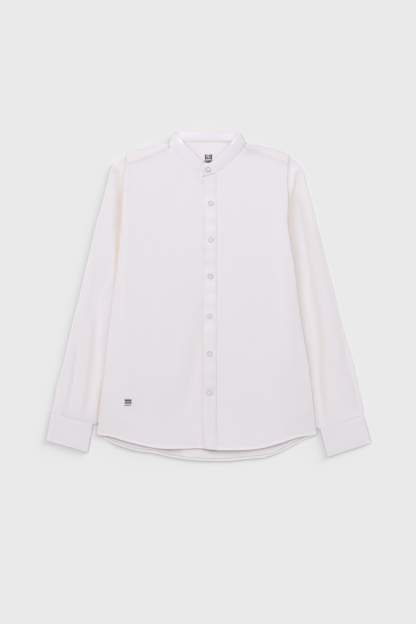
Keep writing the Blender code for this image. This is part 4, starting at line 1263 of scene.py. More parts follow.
def yoke_grid(step):
    """The yoke as lines over x: up the back to the neck, or on over the shoulder to the front."""
    backward = spaced(YOKE_BACK, 9.0) / YOKE_BACK
    turns = np.radians(np.linspace(-90, 90, TURN_POINTS))
    forward = np.linspace(0, 1, TURN_POINTS)[1:]
    full = len(backward) + len(turns) - 1 + len(forward)

    def back_part(x, top_y):
        y = mix(back_yoke_seam(x), top_y, backward)
        return np.stack((np.full_like(y, x), y, under(np.full_like(y, x), y)), axis=1)

    def shoulder_line(x, shoulder, seam, edge, roll=None, lift=1.0):
        start = float(across(shoulder)(x)) - PLAIN / 2 - TURN_START
        line = back_part(x, start)
        if roll is not None:
            y = line[:, 1]
            inward = 1.0 if edge is left_edge else -1.0
            rolled = 1.0 - ease((y - YOKE_ROLL[0]) / (YOKE_ROLL[1] - YOKE_ROLL[0]))
            line[:, 0] = edge(y) + inward * mix(roll[1], roll[0], rolled)
            bottom, top = under(line[:, 0], y), over(line[:, 0], y)[0]
            line[:, 2] = mix(bottom, mix((top + bottom) / 2, bottom, lift), rolled)
        x = line[-1, 0]
        bottom = float(under(np.array([x]), np.array([start]))[0])
        top = float(over(np.array([x]), np.array([start]))[0][0]) + YOKE_RISE / 2
        arc = np.stack((np.full(TURN_POINTS, x), start + TURN_REACH * np.cos(turns),
                        (top + bottom) / 2 + (top - bottom) / 2 * np.sin(turns)), axis=1)
        y = mix(start, float(seam(x)) + 0.2, forward)
        last = np.stack((np.full_like(y, x), y, over(np.full_like(y, x), y)[0]
                         + mix(YOKE_RISE / 2, YOKE_RISE, forward)), axis=1)
        return np.concatenate((line, arc[1:], last))

    lines = []
    for shoulder, top, edge, way in ((RIGHT_SHOULDER, RIGHT_TOP, left_edge, 1),
                                     (LEFT_SHOULDER, LEFT_TOP, right_edge, -1)):
        seam = across(top)
        start = float(edge(YOKE_CORNER))
        group = []
        for index, (away, lift) in enumerate(side_roll()):
            flat = index * YOKE_STEP
            x = start + way * flat
            group.append(shoulder_line(x, shoulder, seam, edge, (away, flat), lift))
        first = start + way * SIDE_ROLL
        last = (shoulder[-1] if way > 0 else shoulder[0]).x + way * TO_COLLAR
        for x in np.linspace(first, last, int(abs(last - first) / step) + 1):
            group.append(shoulder_line(x, shoulder, seam, edge))
        lines.append(group[::way])
    neck_ends = (RIGHT_SHOULDER[-1].x + TO_COLLAR, LEFT_SHOULDER[0].x - TO_COLLAR)
    necks = []
    for x in np.linspace(*neck_ends, 60)[1:-1]:
        part = back_part(x, float(back_neck(x)) + 2.0)
        necks.append(np.concatenate((part, np.repeat(part[-1:], full - len(part), axis=0))))
    first_neck = len(lines[0]) - 1
    last_neck = first_neck + len(necks)
    grid = np.stack(lines[0] + necks + lines[1], axis=1)
    back_rows = len(backward) - 1
    return grid, lambda i, j: (i < back_rows) | (j < first_neck) | (j > last_neck)


class SHIRT_OT_yoke(bpy.types.Operator):
    """The yoke: flat behind the neck, folded over both shoulders and sewn to the fronts"""
    bl_idname = "shirt.yoke"
    bl_label = "Yoke"

    def execute(self, context):
        sizes = context.scene.shirt_sizes
        cloth = get_material("shirting")
        grid, keep = yoke_grid(sizes.grid / MM)
        x, y, z = np.moveaxis(grid, -1, 0)
        neck = (np.abs(x - NECK_MIDDLE) < NECK_HALF - 6) & (y > NECK_FOOT) & (z < YOKE_LOW)
        # painted warm shade by the back neck seam, painted light inside the neck and over the right
        # shoulder
        warmth = 0.2 * neck * bell(back_neck(x) - y, 4.0)
        light = NECK_LIGHT * neck + YOKE_LIGHT * (z > YOKE_LOW) * (x < NECK_MIDDLE)
        piece = shell("yoke_cloth", grid, sizes.cloth, cloth, keep=keep, flip=True, warmth=warmth,
                      light=light)
        runs = []       # along both seams, between the x where they show
        for top, low, high in ((RIGHT_TOP, -183, -97), (LEFT_TOP, 85, 177)):
            run_x = np.linspace(low, high, 50)
            run_y = across(top)(run_x) + sizes.seam_inset / MM
            runs.append((lift_at(run_x, run_y, 0.4), UP))
        sewn = sew("yoke_stitches", runs)
        marks = self.neck_print(sizes.cloth / MM)
        rule(piece, "yoke", "shirt_cloth", *self.cut(grid, keep), [], [sewn, *marks])
        return {"FINISHED"}

    @staticmethod
    def cut(grid, keep):
        """Width and length of the piece laid open, and its area without the hole of the neck."""
        width = cut_of(grid[:2])[0][0]
        long = cut_of(grid)[0][1]
        faces = face_areas(grid)
        return (width, long), float(faces[keep(*np.indices(faces.shape))].sum())

    @staticmethod
    def neck_print(height):
        """Plain bars printed inside the back of the neck, each a thin film on the cloth."""
        made = []
        for number, bar in enumerate(NECK_BARS, start=1):
            x, y = np.meshgrid(bar.x + bar.half_x * np.array((-1, 0, 1)),
                               bar.y + bar.half_y * np.array((1, 0, -1)))
            film = np.dstack((x, y, np.full_like(x, height + 0.08)))
            made.append(slab(f"neck_print_{number}", film, 0.1, get_material(bar.ink)))
        return made


# -------------------- sleeves and cuffs

SLEEVE_AT_EDGE = 4.5    # a sleeve's height where the body's edge passes over it
SLEEVE_AT_ARMHOLE = 6.9     # and near the shoulder, where the two are sewn to each other
ARMHOLE = (235.0, 280.0)    # y between which the one turns into the other
VALLEY_FOOT = 2.5       # how far from the body's edge the painted shade on a sleeve is darkest
FOLD_LIGHT = 0.15       # painted light on its outer fold, standing in for light that comes through


def outside_body(x, y, side):
    """How far a point lies outside the body's edge on one side."""
    return left_edge(y) - x if side < 0 else x - right_edge(y)


def sleeve_top(x, y, side, valley, creases):
    """Upper surface of a sleeve, its painted warm shade and its painted light and shade: pressed
    below the body, full in the open."""
    outside = outside_body(x, y, side)
    height, warmth = relief(creases, x, y)
    soft = 0.14 * ripple(x, y, 60.0, 5 + int(side)) + 0.05 * ripple(x, y, 22.0, 8 + int(side))
    crown = SLEEVE_TOP + soft * ease((outside - valley) / 8.0) + height
    tucked = np.clip(1.0 + outside / SIDE_ROLL, 0.0, 1.0) ** 2
    beside = mix(SLEEVE_UNDER, SLEEVE_AT_EDGE, tucked)
    sewn = ease((y - ARMHOLE[0]) / (ARMHOLE[1] - ARMHOLE[0])) * ease((outside + 0.2) / 1.6)
    beside = mix(beside, SLEEVE_AT_ARMHOLE, sewn)
    z = np.maximum(mix(beside, crown, ease(outside / valley)), PLAIN)
    # painted warm shade and painted shade in the valley beside the body, painted highlight on the
    # first crest
    edge = beside_edge(y, side)
    valley_shade_warmth = edge.warm * bell(outside - edge.away, edge.reach) * (outside > -SIDE_ROLL)
    past = np.maximum(outside - VALLEY_FOOT, 0.0)
    shade = edge.dark * ease(outside / VALLEY_FOOT) * np.exp(-(past / edge.spread) ** 1.5)
    crest = edge.crest * bell(outside - edge.crest_at, CREST_REACH)
    light = CREASE_LIGHT * height + crest - shade
    return z, np.clip(warmth * ease(outside / valley) + valley_shade_warmth, 0, 1), light


LOWER_POINTS = 12       # across a sleeve's lower side
HIDDEN_POINTS = 6       # across its upper side below the body
EDGE_POINTS = 20        # close together, where the body's edge passes over it
EDGE_BAND = (4.0, 12.0)     # and how far that goes inwards and outwards from the edge
OPEN_POINTS = 40        # across the rest


def upper_places(edge, low, high):
    """Distances from the outer fold of the points across a sleeve's upper side."""
    inward, outward = EDGE_BAND
    edge = min(max(edge, low + outward + 1.0), high - inward - 1.0)
    hidden = np.linspace(high, edge + inward, HIDDEN_POINTS, endpoint=False)
    close = np.linspace(edge + inward, edge - outward, EDGE_POINTS, endpoint=False)
    return np.concatenate((hidden, close, np.linspace(edge - outward, low, OPEN_POINTS)))


def sleeve_grid(arm, step):
    """Outer surface of a sleeve: rings along it, each from the floor round to the upper side."""
    table, side = arm.rows, arm.side
    lengths = np.hypot(np.diff(column(table, "outer_x")), np.diff(column(table, "outer_y")))
    stations = [np.linspace(n, n + 1, max(int(round(size / step)), 3), endpoint=False)
                for n, size in enumerate(lengths)]
    stations = np.concatenate(stations + [np.array([len(table) - 1.0])])
    rows = smooth_rows(table, stations)
    outer, inner, valley = rows[:, 0:2], rows[:, 2:4], rows[:, 4]
    turns = np.radians(np.array((75, 55, 35, 15, -10, -35, -60)))
    run = run_along(outer)
    rings, warm, painted_light, maps = [], [], [], []
    for at, to, gap, along in zip(outer, inner, valley, run):
        total = np.linalg.norm(to - at)
        way = (to - at) / total
        tries = np.linspace(0, total, 200)
        line = at + way * tries[:, None]
        edge = float(np.interp(0.0, -outside_body(line[:, 0], line[:, 1], side), tries))
        low, high = TUBE_ROLL, total - HIDDEN_ROLL
        xy = at + way * upper_places(edge, low, high)[:, None]
        z, w, light = sleeve_top(xy[:, 0], xy[:, 1], side, gap, arm.creases)
        # painted shade towards the cuff
        light = light + SEAM_LIGHT[side > 0] * bell(run[-1] - along, SEAM_LIGHT_REACH)
        floor = at + way * np.linspace(low, high, LOWER_POINTS)[:, None]
        hidden_fold = (*(at + way * (total - HIDDEN_ROLL / 6)), z[0] / 2)
        half = z[-1] / 2
        outer_fold = at + way * (TUBE_ROLL * (1 - np.cos(turns)))[:, None]
        ring = np.concatenate((np.column_stack((floor, np.zeros(LOWER_POINTS))), [hidden_fold],
                               np.column_stack((xy, z)),
                               np.column_stack((outer_fold, half + half * np.sin(turns)))))
        rings.append(ring)
        warm.append(np.concatenate((np.zeros(LOWER_POINTS + 1), w, np.zeros(len(turns)))))
        # painted light on the outer fold
        painted_light.append(np.concatenate((np.zeros(LOWER_POINTS + 1), light,
                                      light[-1] + FOLD_LIGHT * np.cos(turns))))
        maps.append(np.stack((run_along(ring), np.full(len(ring), along)), axis=1))
    return np.stack(rings), np.stack(warm), np.stack(painted_light), np.stack(maps)


class SHIRT_OT_sleeves(bpy.types.Operator):
    """Both sleeves: flattened tubes with their long creases, running in under the body"""
    bl_idname = "shirt.sleeves"
    bl_label = "Sleeves"

    def execute(self, context):
        sizes = context.scene.shirt_sizes
        cloth = get_material("shirting")
        for arm in ARMS:
            grid, warmth, light, maps = sleeve_grid(arm, sizes.grid / MM)
            piece = shell(f"sleeve_{arm.name}_cloth", grid, sizes.cloth, cloth, around=True,
                          flip=arm.side > 0, maps=maps, warmth=warmth, light=light)
            rule(piece, f"sleeve_{arm.name}", "shirt_cloth", *cut_of(grid, around=True))
        return {"FINISHED"}


CUFF_DEPTH = 65.0
CUFF_THICK = 1.5
CUFF_RISE = 4.9         # height of the middle of a cuff's upper side
CUFF_FOLD = 2.2         # how far in from each side fold it is flat
CUFF_RIM = 0.3          # radius of its two edges
CUFF_SEAM = 5.5         # from each edge to the stitches beside it
CUFF_STITCH_HEIGHT = 5.66
CUFF_SHADE = 0.028      # painted shade: how much darker it is than the cloth around it
SleeveEnd = namedtuple("SleeveEnd", "at way width down")


def sleeve_end(arm):
    """Where a sleeve meets its cuff: the outer corner, and the directions across and down."""
    last = np.array(arm.rows[-1], float)
    at, way = last[0:2], last[2:4] - last[0:2]
    width = float(np.linalg.norm(way))
    return SleeveEnd(at, way / width, width, np.array((math.sin(arm.turn), -math.cos(arm.turn))))


def cuff_grid(end, step):
    """Middle surface of a cuff: a flattened ring of doubled cloth, and each point's place on it."""
    floor = CUFF_THICK / 2
    low, high = floor + CUFF_FOLD, end.width - floor - CUFF_FOLD
    flat = np.linspace(low, high, int((high - low) / step))
    angles = np.radians(np.array((-60, -30, 0, 30, 60)))
    middle, half = (floor + CUFF_RISE) / 2, (CUFF_RISE - floor) / 2
    section = [(d, floor) for d in flat]
    section += [(high + CUFF_FOLD * math.cos(a), middle + half * math.sin(a)) for a in angles]
    section += [(d, CUFF_RISE) for d in flat[::-1]]
    section += [(low - CUFF_FOLD * math.cos(a), middle - half * math.sin(a)) for a in angles]
    section = np.array(section)
    around = run_along(section)
    rings, maps = [], []
    for depth in spaced(CUFF_DEPTH - 0.1, step, rim_steps(CUFF_RIM)) + 0.1:
        xy = end.at + end.down * depth + end.way * section[:, :1]
        z = section[:, 1].copy()
        upper = z > middle
        seam = bell(depth - CUFF_SEAM, 1.5) + bell(CUFF_DEPTH - depth - CUFF_SEAM, 1.5)
        soft = 0.12 * ripple(xy[:, 0], xy[:, 1], 28.0, 21) - 0.16 * seam
        z[upper] += soft[upper]
        rings.append(np.column_stack((xy, z)))
        maps.append(np.stack((around, np.full_like(around, depth)), axis=1))
    return np.stack(rings), np.stack(maps)


class SHIRT_OT_cuffs(bpy.types.Operator):
    """Both cuffs: flattened rings of interlined cloth, stitched beside both edges"""
    bl_idname = "shirt.cuffs"
    bl_label = "Cuffs"

    def execute(self, context):
        sizes = context.scene.shirt_sizes
        cloth = get_material("interlined_shirting")
        for arm in ARMS:
            end = sleeve_end(arm)
            grid, maps = cuff_grid(end, sizes.grid / MM)
            if arm.side > 0:
                grid, maps = grid[:, ::-1], maps[:, ::-1]
            depth = maps[..., 1]
            # painted shade over the cuff, with painted light near both its edges
            light = 0.04 * bell(depth - 4.0, 3.0) - CUFF_SHADE
            light = light + 0.02 * bell(CUFF_DEPTH - 3.0 - depth, 3.0)
            piece = slab(f"cuff_{arm.name}_cloth", grid, CUFF_THICK, cloth, around=True, maps=maps,
                         light=light, edges=rim_profile(grid, CUFF_RIM, True))
            share = np.linspace(0.04, 0.96, 40)[:, None]
            height = np.full(len(share), CUFF_STITCH_HEIGHT)
            runs = []
            for depth in (CUFF_SEAM, CUFF_DEPTH - CUFF_SEAM):
                xy = end.at + end.down * depth + end.way * end.width * share
                runs.append((np.column_stack((xy, height)), UP))
            sewn = sew(f"cuff_{arm.name}_stitches", runs)
            rule(piece, f"cuff_{arm.name}", "interlined_cloth", *cut_of(grid, around=True), [],
                 [sewn])
        return {"FINISHED"}


STRIP_SIZE = (22.0, 16.0)   # the part of a sleeve placket that shows
STRIP_CORNER = (4.0, -17.0)     # across and down from the sleeve's outer end
STRIP_THICK = 0.8
STRIP_RISE = 0.35       # its middle above the sleeve, and the stitches on it
STRIP_STITCH_RISE = 0.85
STRIP_SEAM = 1.8        # from its edges to the stitches


class SHIRT_OT_sleeve_plackets(bpy.types.Operator):
    """The end of each sleeve opening's strip, above the cuff by the outer fold"""
    bl_idname = "shirt.sleeve_plackets"
    bl_label = "Sleeve plackets"

    def execute(self, context):
        cloth = get_material("shirting")
        wide, long = (spaced(size, 2.0, rim_steps(STRIP_THICK / 2)) + corner
                      for size, corner in zip(STRIP_SIZE, STRIP_CORNER))
        near, far = wide[0] + STRIP_SEAM, wide[-1] - STRIP_SEAM
        top, foot = long[0] + STRIP_SEAM, long[-1]
        corners = ((near, foot), (near, top), (far, top), (far, foot))
        share = np.linspace(0, 1, 12)
        for arm in ARMS:
            grid = np.stack([self.on_sleeve(arm, wide, np.full_like(wide, d), STRIP_RISE)
                             for d in long])
            if normals(grid)[..., 2].mean() < 0:
                grid = grid[:, ::-1]
            piece = slab(f"sleeve_placket_{arm.name}_cloth", grid, STRIP_THICK, cloth)
            runs = [(self.on_sleeve(arm, mix(ax, bx, share), mix(ay, by, share),
                                    STRIP_STITCH_RISE), UP)
                    for (ax, ay), (bx, by) in zip(corners, corners[1:])]
            sewn = sew(f"sleeve_placket_{arm.name}_stitches", runs)
            rule(piece, f"sleeve_placket_{arm.name}", "shirt_cloth", *cut_of(grid),
                 [f"sleeve_{arm.name}_cloth"], [sewn])
        return {"FINISHED"}

    @staticmethod
    def on_sleeve(arm, across_it, down_it, rise):
        """Points above a sleeve, from their distances across and down from its outer end."""
        end = sleeve_end(arm)
        xy = end.at + end.down * down_it[:, None] + end.way * across_it[:, None]
        z = sleeve_top(xy[:, 0], xy[:, 1], arm.side, np.full(len(xy), 6.0), arm.creases)[0]
        return np.column_stack((xy, z + rise))


# -------------------- placket, collar and patch

PLACKET_ROWS = 300
PLACKET_SEAM = 3.5      # from each long edge to the stitches beside it
PLACKET_FOLD = 4.4      # the strip beside its free edge with painted warm shade and light
STITCH_LIFT = 0.2       # stitches above the cloth they are sewn on
BUTTONHOLE_UP = 0.8     # a buttonhole's middle above its button's
BUTTONHOLE_HALF = 7.0   # half its length, and from its slit to each line of stitches
BUTTONHOLE_SIDE = 0.9


class SHIRT_OT_placket(bpy.types.Operator):
    """The button placket: an interlined strip on the left front, pulled in between its buttons"""
    bl_idname = "shirt.placket"
    bl_label = "Placket"

    def execute(self, context):
        sizes = context.scene.shirt_sizes
        cloth = get_material("interlined_shirting")
        thick = sizes.interlined / MM
        wide = spaced(PLACKET_WIDTH, 1.6, rim_steps(thick / 2)) + PLACKET_EDGE
        top = across(LEFT_TOP)
        x = np.repeat(wide[None, :], PLACKET_ROWS, axis=0)
        y = np.linspace(top(wide) + TUCK, front_hem(wide) - 0.3, PLACKET_ROWS)
        grid = self.on_front(x, y, thick / 2 + 0.05)
        near = np.minimum(np.minimum(x - x.min(), x.max() - x), np.abs(y - y[-1:]))
        edges = round_edge(near, thick / 2)
        edges[0] = edges[-1] = 0.0
        # painted warm shade and light along the free edge, and painted light and shade of the
        # strip's waves
        strip = ease(PLACKET_EDGE + PLACKET_FOLD - x)
        waves = 0.06 * ripple(x * 0.15, y, 26.0, 33)
        piece = slab("placket_cloth", grid, thick, cloth, edges=edges, warmth=0.2 * strip,
                     light=0.02 * strip + waves)
        runs = []
        for line in (PLACKET_EDGE + PLACKET_SEAM, PLACKET_EDGE + PLACKET_WIDTH - PLACKET_SEAM):
            line_y = np.linspace(float(top(line)) - 1, float(front_hem(line)) + 3, PLACKET_ROWS)
            line_x = np.full_like(line_y, line)
            runs.append((self.on_front(line_x, line_y, thick + STITCH_LIFT), UP))
        hem_x = np.linspace(PLACKET_EDGE + 2, PLACKET_EDGE + PLACKET_WIDTH - 2, 14)
        hem_y = front_hem(hem_x) + sizes.hem / MM - HEM_INSET
        runs.append((self.on_front(hem_x, hem_y, thick + STITCH_LIFT), UP))
        for button in PLACKET_BUTTONS:
            runs += self.buttonhole(button.x, button.y + BUTTONHOLE_UP, thick)
        sewn = sew("placket_stitches", runs)
        rule(piece, "placket", "interlined_cloth", *cut_of(grid), ["front_left_cloth"], [sewn])
        return {"FINISHED"}

    @staticmethod
    def pull(x, y):
        """Uneven cross waves of the strip, deepest half way between buttons."""
        between = ease(np.abs(y[..., None] - column(PLACKET_BUTTONS, "y")).min(axis=-1) / 40)
        waves = 0.4 * ripple(x * 0.15, y, 20.0, 31) + 0.14 * ripple(x, y, 9.0, 32)
        waves += 0.5 * ripple(x * 0.1, y, 45.0, 34)
        inward = x - PLACKET_EDGE
        stitched = bell(inward - PLACKET_SEAM, 1.3)
        stitched = stitched + bell(inward - PLACKET_WIDTH + PLACKET_SEAM, 1.3)
        return waves * (0.4 + 0.6 * between) - 0.14 * stitched

    def on_front(self, x, y, rise):
        """Points above the left front that follow the strip's waves."""
        return np.stack((x, y, over(x, y)[0] + rise + self.pull(x, y)), axis=-1)

    def buttonhole(self, x, y, thick):
        """Close stitching down both sides of a slit."""
        line_y = np.linspace(y - BUTTONHOLE_HALF, y + BUTTONHOLE_HALF, 24)
        return [(self.on_front(np.full_like(line_y, x + side), line_y, thick + 0.22), UP)
                for side in (-BUTTONHOLE_SIDE, BUTTONHOLE_SIDE)]


COLLAR_LEAN = 0.58      # the cloth band leans over further than its solid: its share of the rise
COLLAR_HEIGHT = 27.0
COLLAR_CORNER = 9.0     # radius of its two free corners
COLLAR_SEAM = 4.0       # how far from its seam it has its full thickness
COLLAR_TURN = (333.0, 343.0)    # y between which its seam comes down from the fronts to the yoke
COLLAR_OVER_END = 15    # the table's row from which it lies on the left front
COLLAR_BOW = 0.7        # how far it bulges half way up
COLLAR_STITCHES = (3.0, COLLAR_HEIGHT - 3.0)
COLLAR_BEHIND = 342.0   # y from which it stands behind the neck, where it gets painted light
COLLAR_BEHIND_HALF = 68.0


def collar_seam_z(x, y, table_z, station):
    """Where the band's seam lies: on the fronts, or at the back of the neck on the yoke."""
    drop = np.where(station < COLLAR_OVER_END, underlap(x, y), 0.0)
    on_front = over(x, y)[0] - drop + 0.05
    low, high = COLLAR_TURN
    return mix(table_z - 1.0, on_front, ease((high - y) / (high - low)))


def collar_grid(step, thick):
    """Middle surface of the band: rows along it, from the under end round to the over end."""
    table = np.array(COLLAR, float)
    seams = np.linalg.norm(np.diff(table[:, :3], axis=0), axis=1)
    last = len(table) - 1.0
    stations = [np.linspace(n, n + 1, max(int(round(size / step)), 2), endpoint=False)
                for n, size in enumerate(seams)]
    rim = np.array(rim_steps(thick / 2))
    stations = np.concatenate(stations + [[last], rim / seams[0], last - rim / seams[-1]])
    stations = np.unique(np.round(stations, 4))
    rows = smooth_rows(COLLAR, stations)
    seam, edge = rows[:, :3], rows[:, 3:]
    rise = (edge[:, 2] - seam[:, 2]) * COLLAR_LEAN
    seam[:, 2] = collar_seam_z(seam[:, 0], seam[:, 1], seam[:, 2], stations)
    edge[:, 2] = seam[:, 2] + rise
    up = spaced(COLLAR_HEIGHT, 1.5, rim_steps(thick / 2)) / COLLAR_HEIGHT
    middle = (edge + seam) / 2
    run = run_along(middle)
    from_end = np.clip(np.minimum(run, run[-1] - run) / COLLAR_CORNER, 0.0, 1.0)
    trim = 1.0 - (1.0 - np.sqrt(1.0 - (1.0 - from_end) ** 2)) * COLLAR_CORNER / COLLAR_HEIGHT
    share = up[None, :] * trim[:, None]
    grid = mix(seam[:, None, :], edge[:, None, :], share[..., None])
    full = ease(share * COLLAR_HEIGHT / COLLAR_SEAM)
    grid[..., 2] += COLLAR_BOW * np.sin(np.pi * share) + thick / 2 * full
    maps = np.dstack((np.repeat(run[:, None], len(up), axis=1), share * COLLAR_HEIGHT))
    facing = normals(grid)
    wave = 0.14 * ripple(maps[..., 0], maps[..., 1] * 0.4, 30.0, 41)
    for place in COLLAR_STITCHES:
        wave -= 0.12 * bell(maps[..., 1] - place, 1.2)
    return grid + facing * wave[..., None], maps, facing


class SHIRT_OT_collar(bpy.types.Operator):
    """The mandarin band, standing at the back, with rounded ends that lap at the centre front"""
    bl_idname = "shirt.collar"
    bl_label = "Collar"

    def execute(self, context):
        sizes = context.scene.shirt_sizes
        thick = sizes.interlined / MM
        cloth = get_material("interlined_shirting")
        grid, maps, facing = collar_grid(1.6, thick)
        # painted warm shade and painted light on the band behind the neck, along its seam and at
        # its top edge
        back = ease((grid[..., 1] - COLLAR_BEHIND) / 10)
        back *= ease((COLLAR_BEHIND_HALF - np.abs(grid[..., 0] - NECK_MIDDLE)) / 12)
        up = maps[..., 1]
        warmth = back * (0.25 * bell(up, 1.6) + 0.15 * bell(up - 23.0, 1.5))
        light = COLLAR_BACK_LIGHT * back + 0.18 * bell(up, 1.6)
        light = light + 0.14 * bell(COLLAR_HEIGHT - up, 1.2)
        edges = rim_profile(grid, thick / 2) * mix(0.25, 1.0, ease(up / COLLAR_SEAM))
        piece = slab("collar_cloth", grid, thick, cloth, maps=maps, warmth=warmth, light=light,
                     edges=edges)
        runs = []
        count = grid.shape[1]
        for place in COLLAR_STITCHES:
            index = int(round(place / COLLAR_HEIGHT * (count - 1)))
            for side in (1.0, -1.0):
                path = grid[3:-3, index] + side * facing[3:-3, index] * (thick / 2 + 0.05)
                runs.append((path, side * facing[3:-3, index]))
        sewn = sew("collar_stitches", runs)
        rule(piece, "collar", "interlined_cloth", *cut_of(grid), ["yoke_cloth"], [sewn])
        return {"FINISHED"}


PATCH_CENTRE = Point(-183.5, -238)
PATCH_SIDE = 26.0
PATCH_THICK = 0.9
PATCH_RISE = 0.6        # its middle above the front, and the stitches on it
PATCH_STITCH_RISE = 1.1
PATCH_SEAM = 1.6        # from its edges to the stitches


class SHIRT_OT_patch(bpy.types.Operator):
    """The square patch near the hem, sewn on all round, with plain bars in place of a mark"""
    bl_idname = "shirt.patch"
    bl_label = "Hem patch"

    def execute(self, context):
        half = PATCH_SIDE / 2
        places = spaced(PATCH_SIDE, 1.6, rim_steps(PATCH_THICK / 2)) - half
        dx, dy = np.meshgrid(places, -places)
        x, y = PATCH_CENTRE.x + dx, PATCH_CENTRE.y + dy
        grid = lift_at(x, y, PATCH_RISE)
        piece = slab("hem_patch_cloth", grid, PATCH_THICK, get_material("patch_tape"),
                     maps=np.dstack((dx, dy)))
        inset = half - PATCH_SEAM
        turns = ((-1, -1), (1, -1), (1, 1), (-1, 1), (-1, -1))
        corners = [(a * inset, b * inset) for a, b in turns]
        share = np.linspace(0, 1, 14)
        runs = []
        for (ax, ay), (bx, by) in zip(corners, corners[1:]):
            x, y = PATCH_CENTRE.x + mix(ax, bx, share), PATCH_CENTRE.y + mix(ay, by, share)
            runs.append((lift_at(x, y, PATCH_STITCH_RISE), UP))
        sewn = sew("hem_patch_stitches", runs)
        rule(piece, "hem_patch", "patch_cloth", *cut_of(grid), ["front_right_cloth"], [sewn])
        return {"FINISHED"}


# -------------------- buttons

ProfileRow = namedtuple("ProfileRow", "radius height")
# Underside, round the edge, over the rim and down into the dish
BUTTON_PROFILE = rows_of(
    ProfileRow, (0.0, 0.0), (3.6, 0.0), (4.9, 0.35), (5.4, 0.9), (5.5, 1.4), (5.3, 2.0),
    (4.9, 2.35), (4.4, 2.4), (3.9, 2.15), (3.5, 1.8), (3.0, 1.62), (0.0, 1.55),
)
HOLE_PLACE = 1.15       # each hole's distance from the button's axes
HOLE_RADIUS = 0.75
THREAD_SIDES = 6
THREAD_POINTS = 9       # along a bundle of threads
THREAD_RADIUS = 0.2
THREAD_SHIFT = 0.22     # each of two bundles side by side, from the line between their holes
THREAD_LOW = 1.35       # height of a bundle's ends, and how much higher its middle is
THREAD_ARCH = 0.75
COLLAR_BUTTON_TILT = math.radians(9.7)      # it leans with the band
COLLAR_BUTTON_LIFT = 0.9
BUTTON_TURN = math.radians(17)      # how much further each button is turned than the last


def join_rings(made, rings):
    """Faces between each ring of points and the next."""
    for low, high in zip(rings, rings[1:]):
        for n in range(len(low)):
            m = (n + 1) % len(low)
            made.faces.new((low[n], low[m], high[m], high[n]))


def lathe(profile, sides):
    """A turned closed mesh, its two ends on the axis."""
    made = bmesh.new()
    ends = [made.verts.new((0, 0, row.height * MM)) for row in (profile[0], profile[-1])]
    rings = []
    for row in profile[1:-1]:
        angles = [2 * math.pi * n / sides for n in range(sides)]
        rings.append([made.verts.new((row.radius * math.cos(a) * MM, row.radius * math.sin(a) * MM,
                                      row.height * MM)) for a in angles])
    join_rings(made, rings)
    for n in range(sides):
        made.faces.new((ends[0], rings[0][(n + 1) % sides], rings[0][n]))
        made.faces.new((ends[1], rings[-1][n], rings[-1][(n + 1) % sides]))
    return made


def button_mesh(material):
    """The turned button with its four sewing holes cut through."""
    disc = bpy.data.meshes.new("button")
    turned = lathe(BUTTON_PROFILE, 40)
    turned.to_mesh(disc)
    turned.free()
    disc.materials.append(material)
    body = put("button_body", disc)
    drills = bmesh.new()
    for x, y in ((-1, -1), (-1, 1), (1, -1), (1, 1)):
        drill = bmesh.ops.create_cone(drills, cap_ends=True, segments=14, radius1=HOLE_RADIUS * MM,
                                      radius2=HOLE_RADIUS * MM, depth=8 * MM)
        bmesh.ops.translate(drills, verts=drill["verts"],
                            vec=(x * HOLE_PLACE * MM, y * HOLE_PLACE * MM, 0))
    cutter_mesh = bpy.data.meshes.new("button_drills")
    drills.to_mesh(cutter_mesh)
    drills.free()
    cutter = put("button_drills", cutter_mesh)
    cut = body.modifiers.new("holes", "BOOLEAN")
    cut.operation = "DIFFERENCE"
    cut.solver = "EXACT"
    cut.object = cutter
    graph = bpy.context.evaluated_depsgraph_get()
    made = bpy.data.meshes.new_from_object(body.evaluated_get(graph))
    bpy.data.objects.remove(body)
    bpy.data.objects.remove(cutter)
    made.shade_smooth()
    made.set_sharp_from_angle(angle=math.radians(38))
    return made


def thread_cross_mesh(material):
    """Two crossed pairs of bundles of thread through the four holes."""
    made = bmesh.new()
    angles = [2 * math.pi * k / THREAD_SIDES for k in range(THREAD_SIDES)]
    for turn in (math.radians(45), math.radians(135)):
        way = np.array((math.cos(turn), math.sin(turn), 0.0))
        side = np.array((-math.sin(turn), math.cos(turn), 0.0))
        for shift in (-THREAD_SHIFT, THREAD_SHIFT):
            rings = []
            for share in np.linspace(0.0, 1.0, THREAD_POINTS):
                along = (share - 0.5) * 2 * HOLE_PLACE * math.sqrt(2)
                rise = THREAD_LOW + THREAD_ARCH * math.sin(math.pi * share)
                middle = way * along + side * shift + UP * rise
                ring = [middle + (side * math.cos(a) + UP * math.sin(a)) * THREAD_RADIUS
                        for a in angles]
                rings.append([made.verts.new(point * MM) for point in ring])
            join_rings(made, rings)
            made.faces.new(rings[0][::-1])
            made.faces.new(rings[-1])
    bmesh.ops.recalc_face_normals(made, faces=made.faces)
    mesh = bpy.data.meshes.new("button_thread")
    made.to_mesh(mesh)
    made.free()
    mesh.shade_smooth()
    mesh.materials.append(material)
    return mesh


class SHIRT_OT_buttons(bpy.types.Operator):
    """Seven four-hole resin buttons, each on its crossed threads"""
    bl_idname = "shirt.buttons"
    bl_label = "Buttons"

    def execute(self, context):
        disc = button_mesh(get_material("pale_resin"))
        cross = thread_cross_mesh(get_material("sewing_thread"))
        for number in range(1, 8):
            low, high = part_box(f"button_{number}")
            middle = (low + high) / 2
            on_collar = number == 1
            tilt = COLLAR_BUTTON_TILT if on_collar else 0.0
            base = low.z + (COLLAR_BUTTON_LIFT * MM if on_collar else 0.0)
            node = f"button_{number}"
            for mesh, kind, solid, slot in ((disc, "disc", node, "button_resin"),
                                            (cross, "thread", None, "interlined_cloth")):
                piece = put(f"{node}_{kind}", mesh.copy())
                piece.location = (middle.x, middle.y, base)
                piece.rotation_euler = (tilt, 0.0, BUTTON_TURN * number)
                rule(piece, solid, slot)
        return {"FINISHED"}


# -------------------- stage

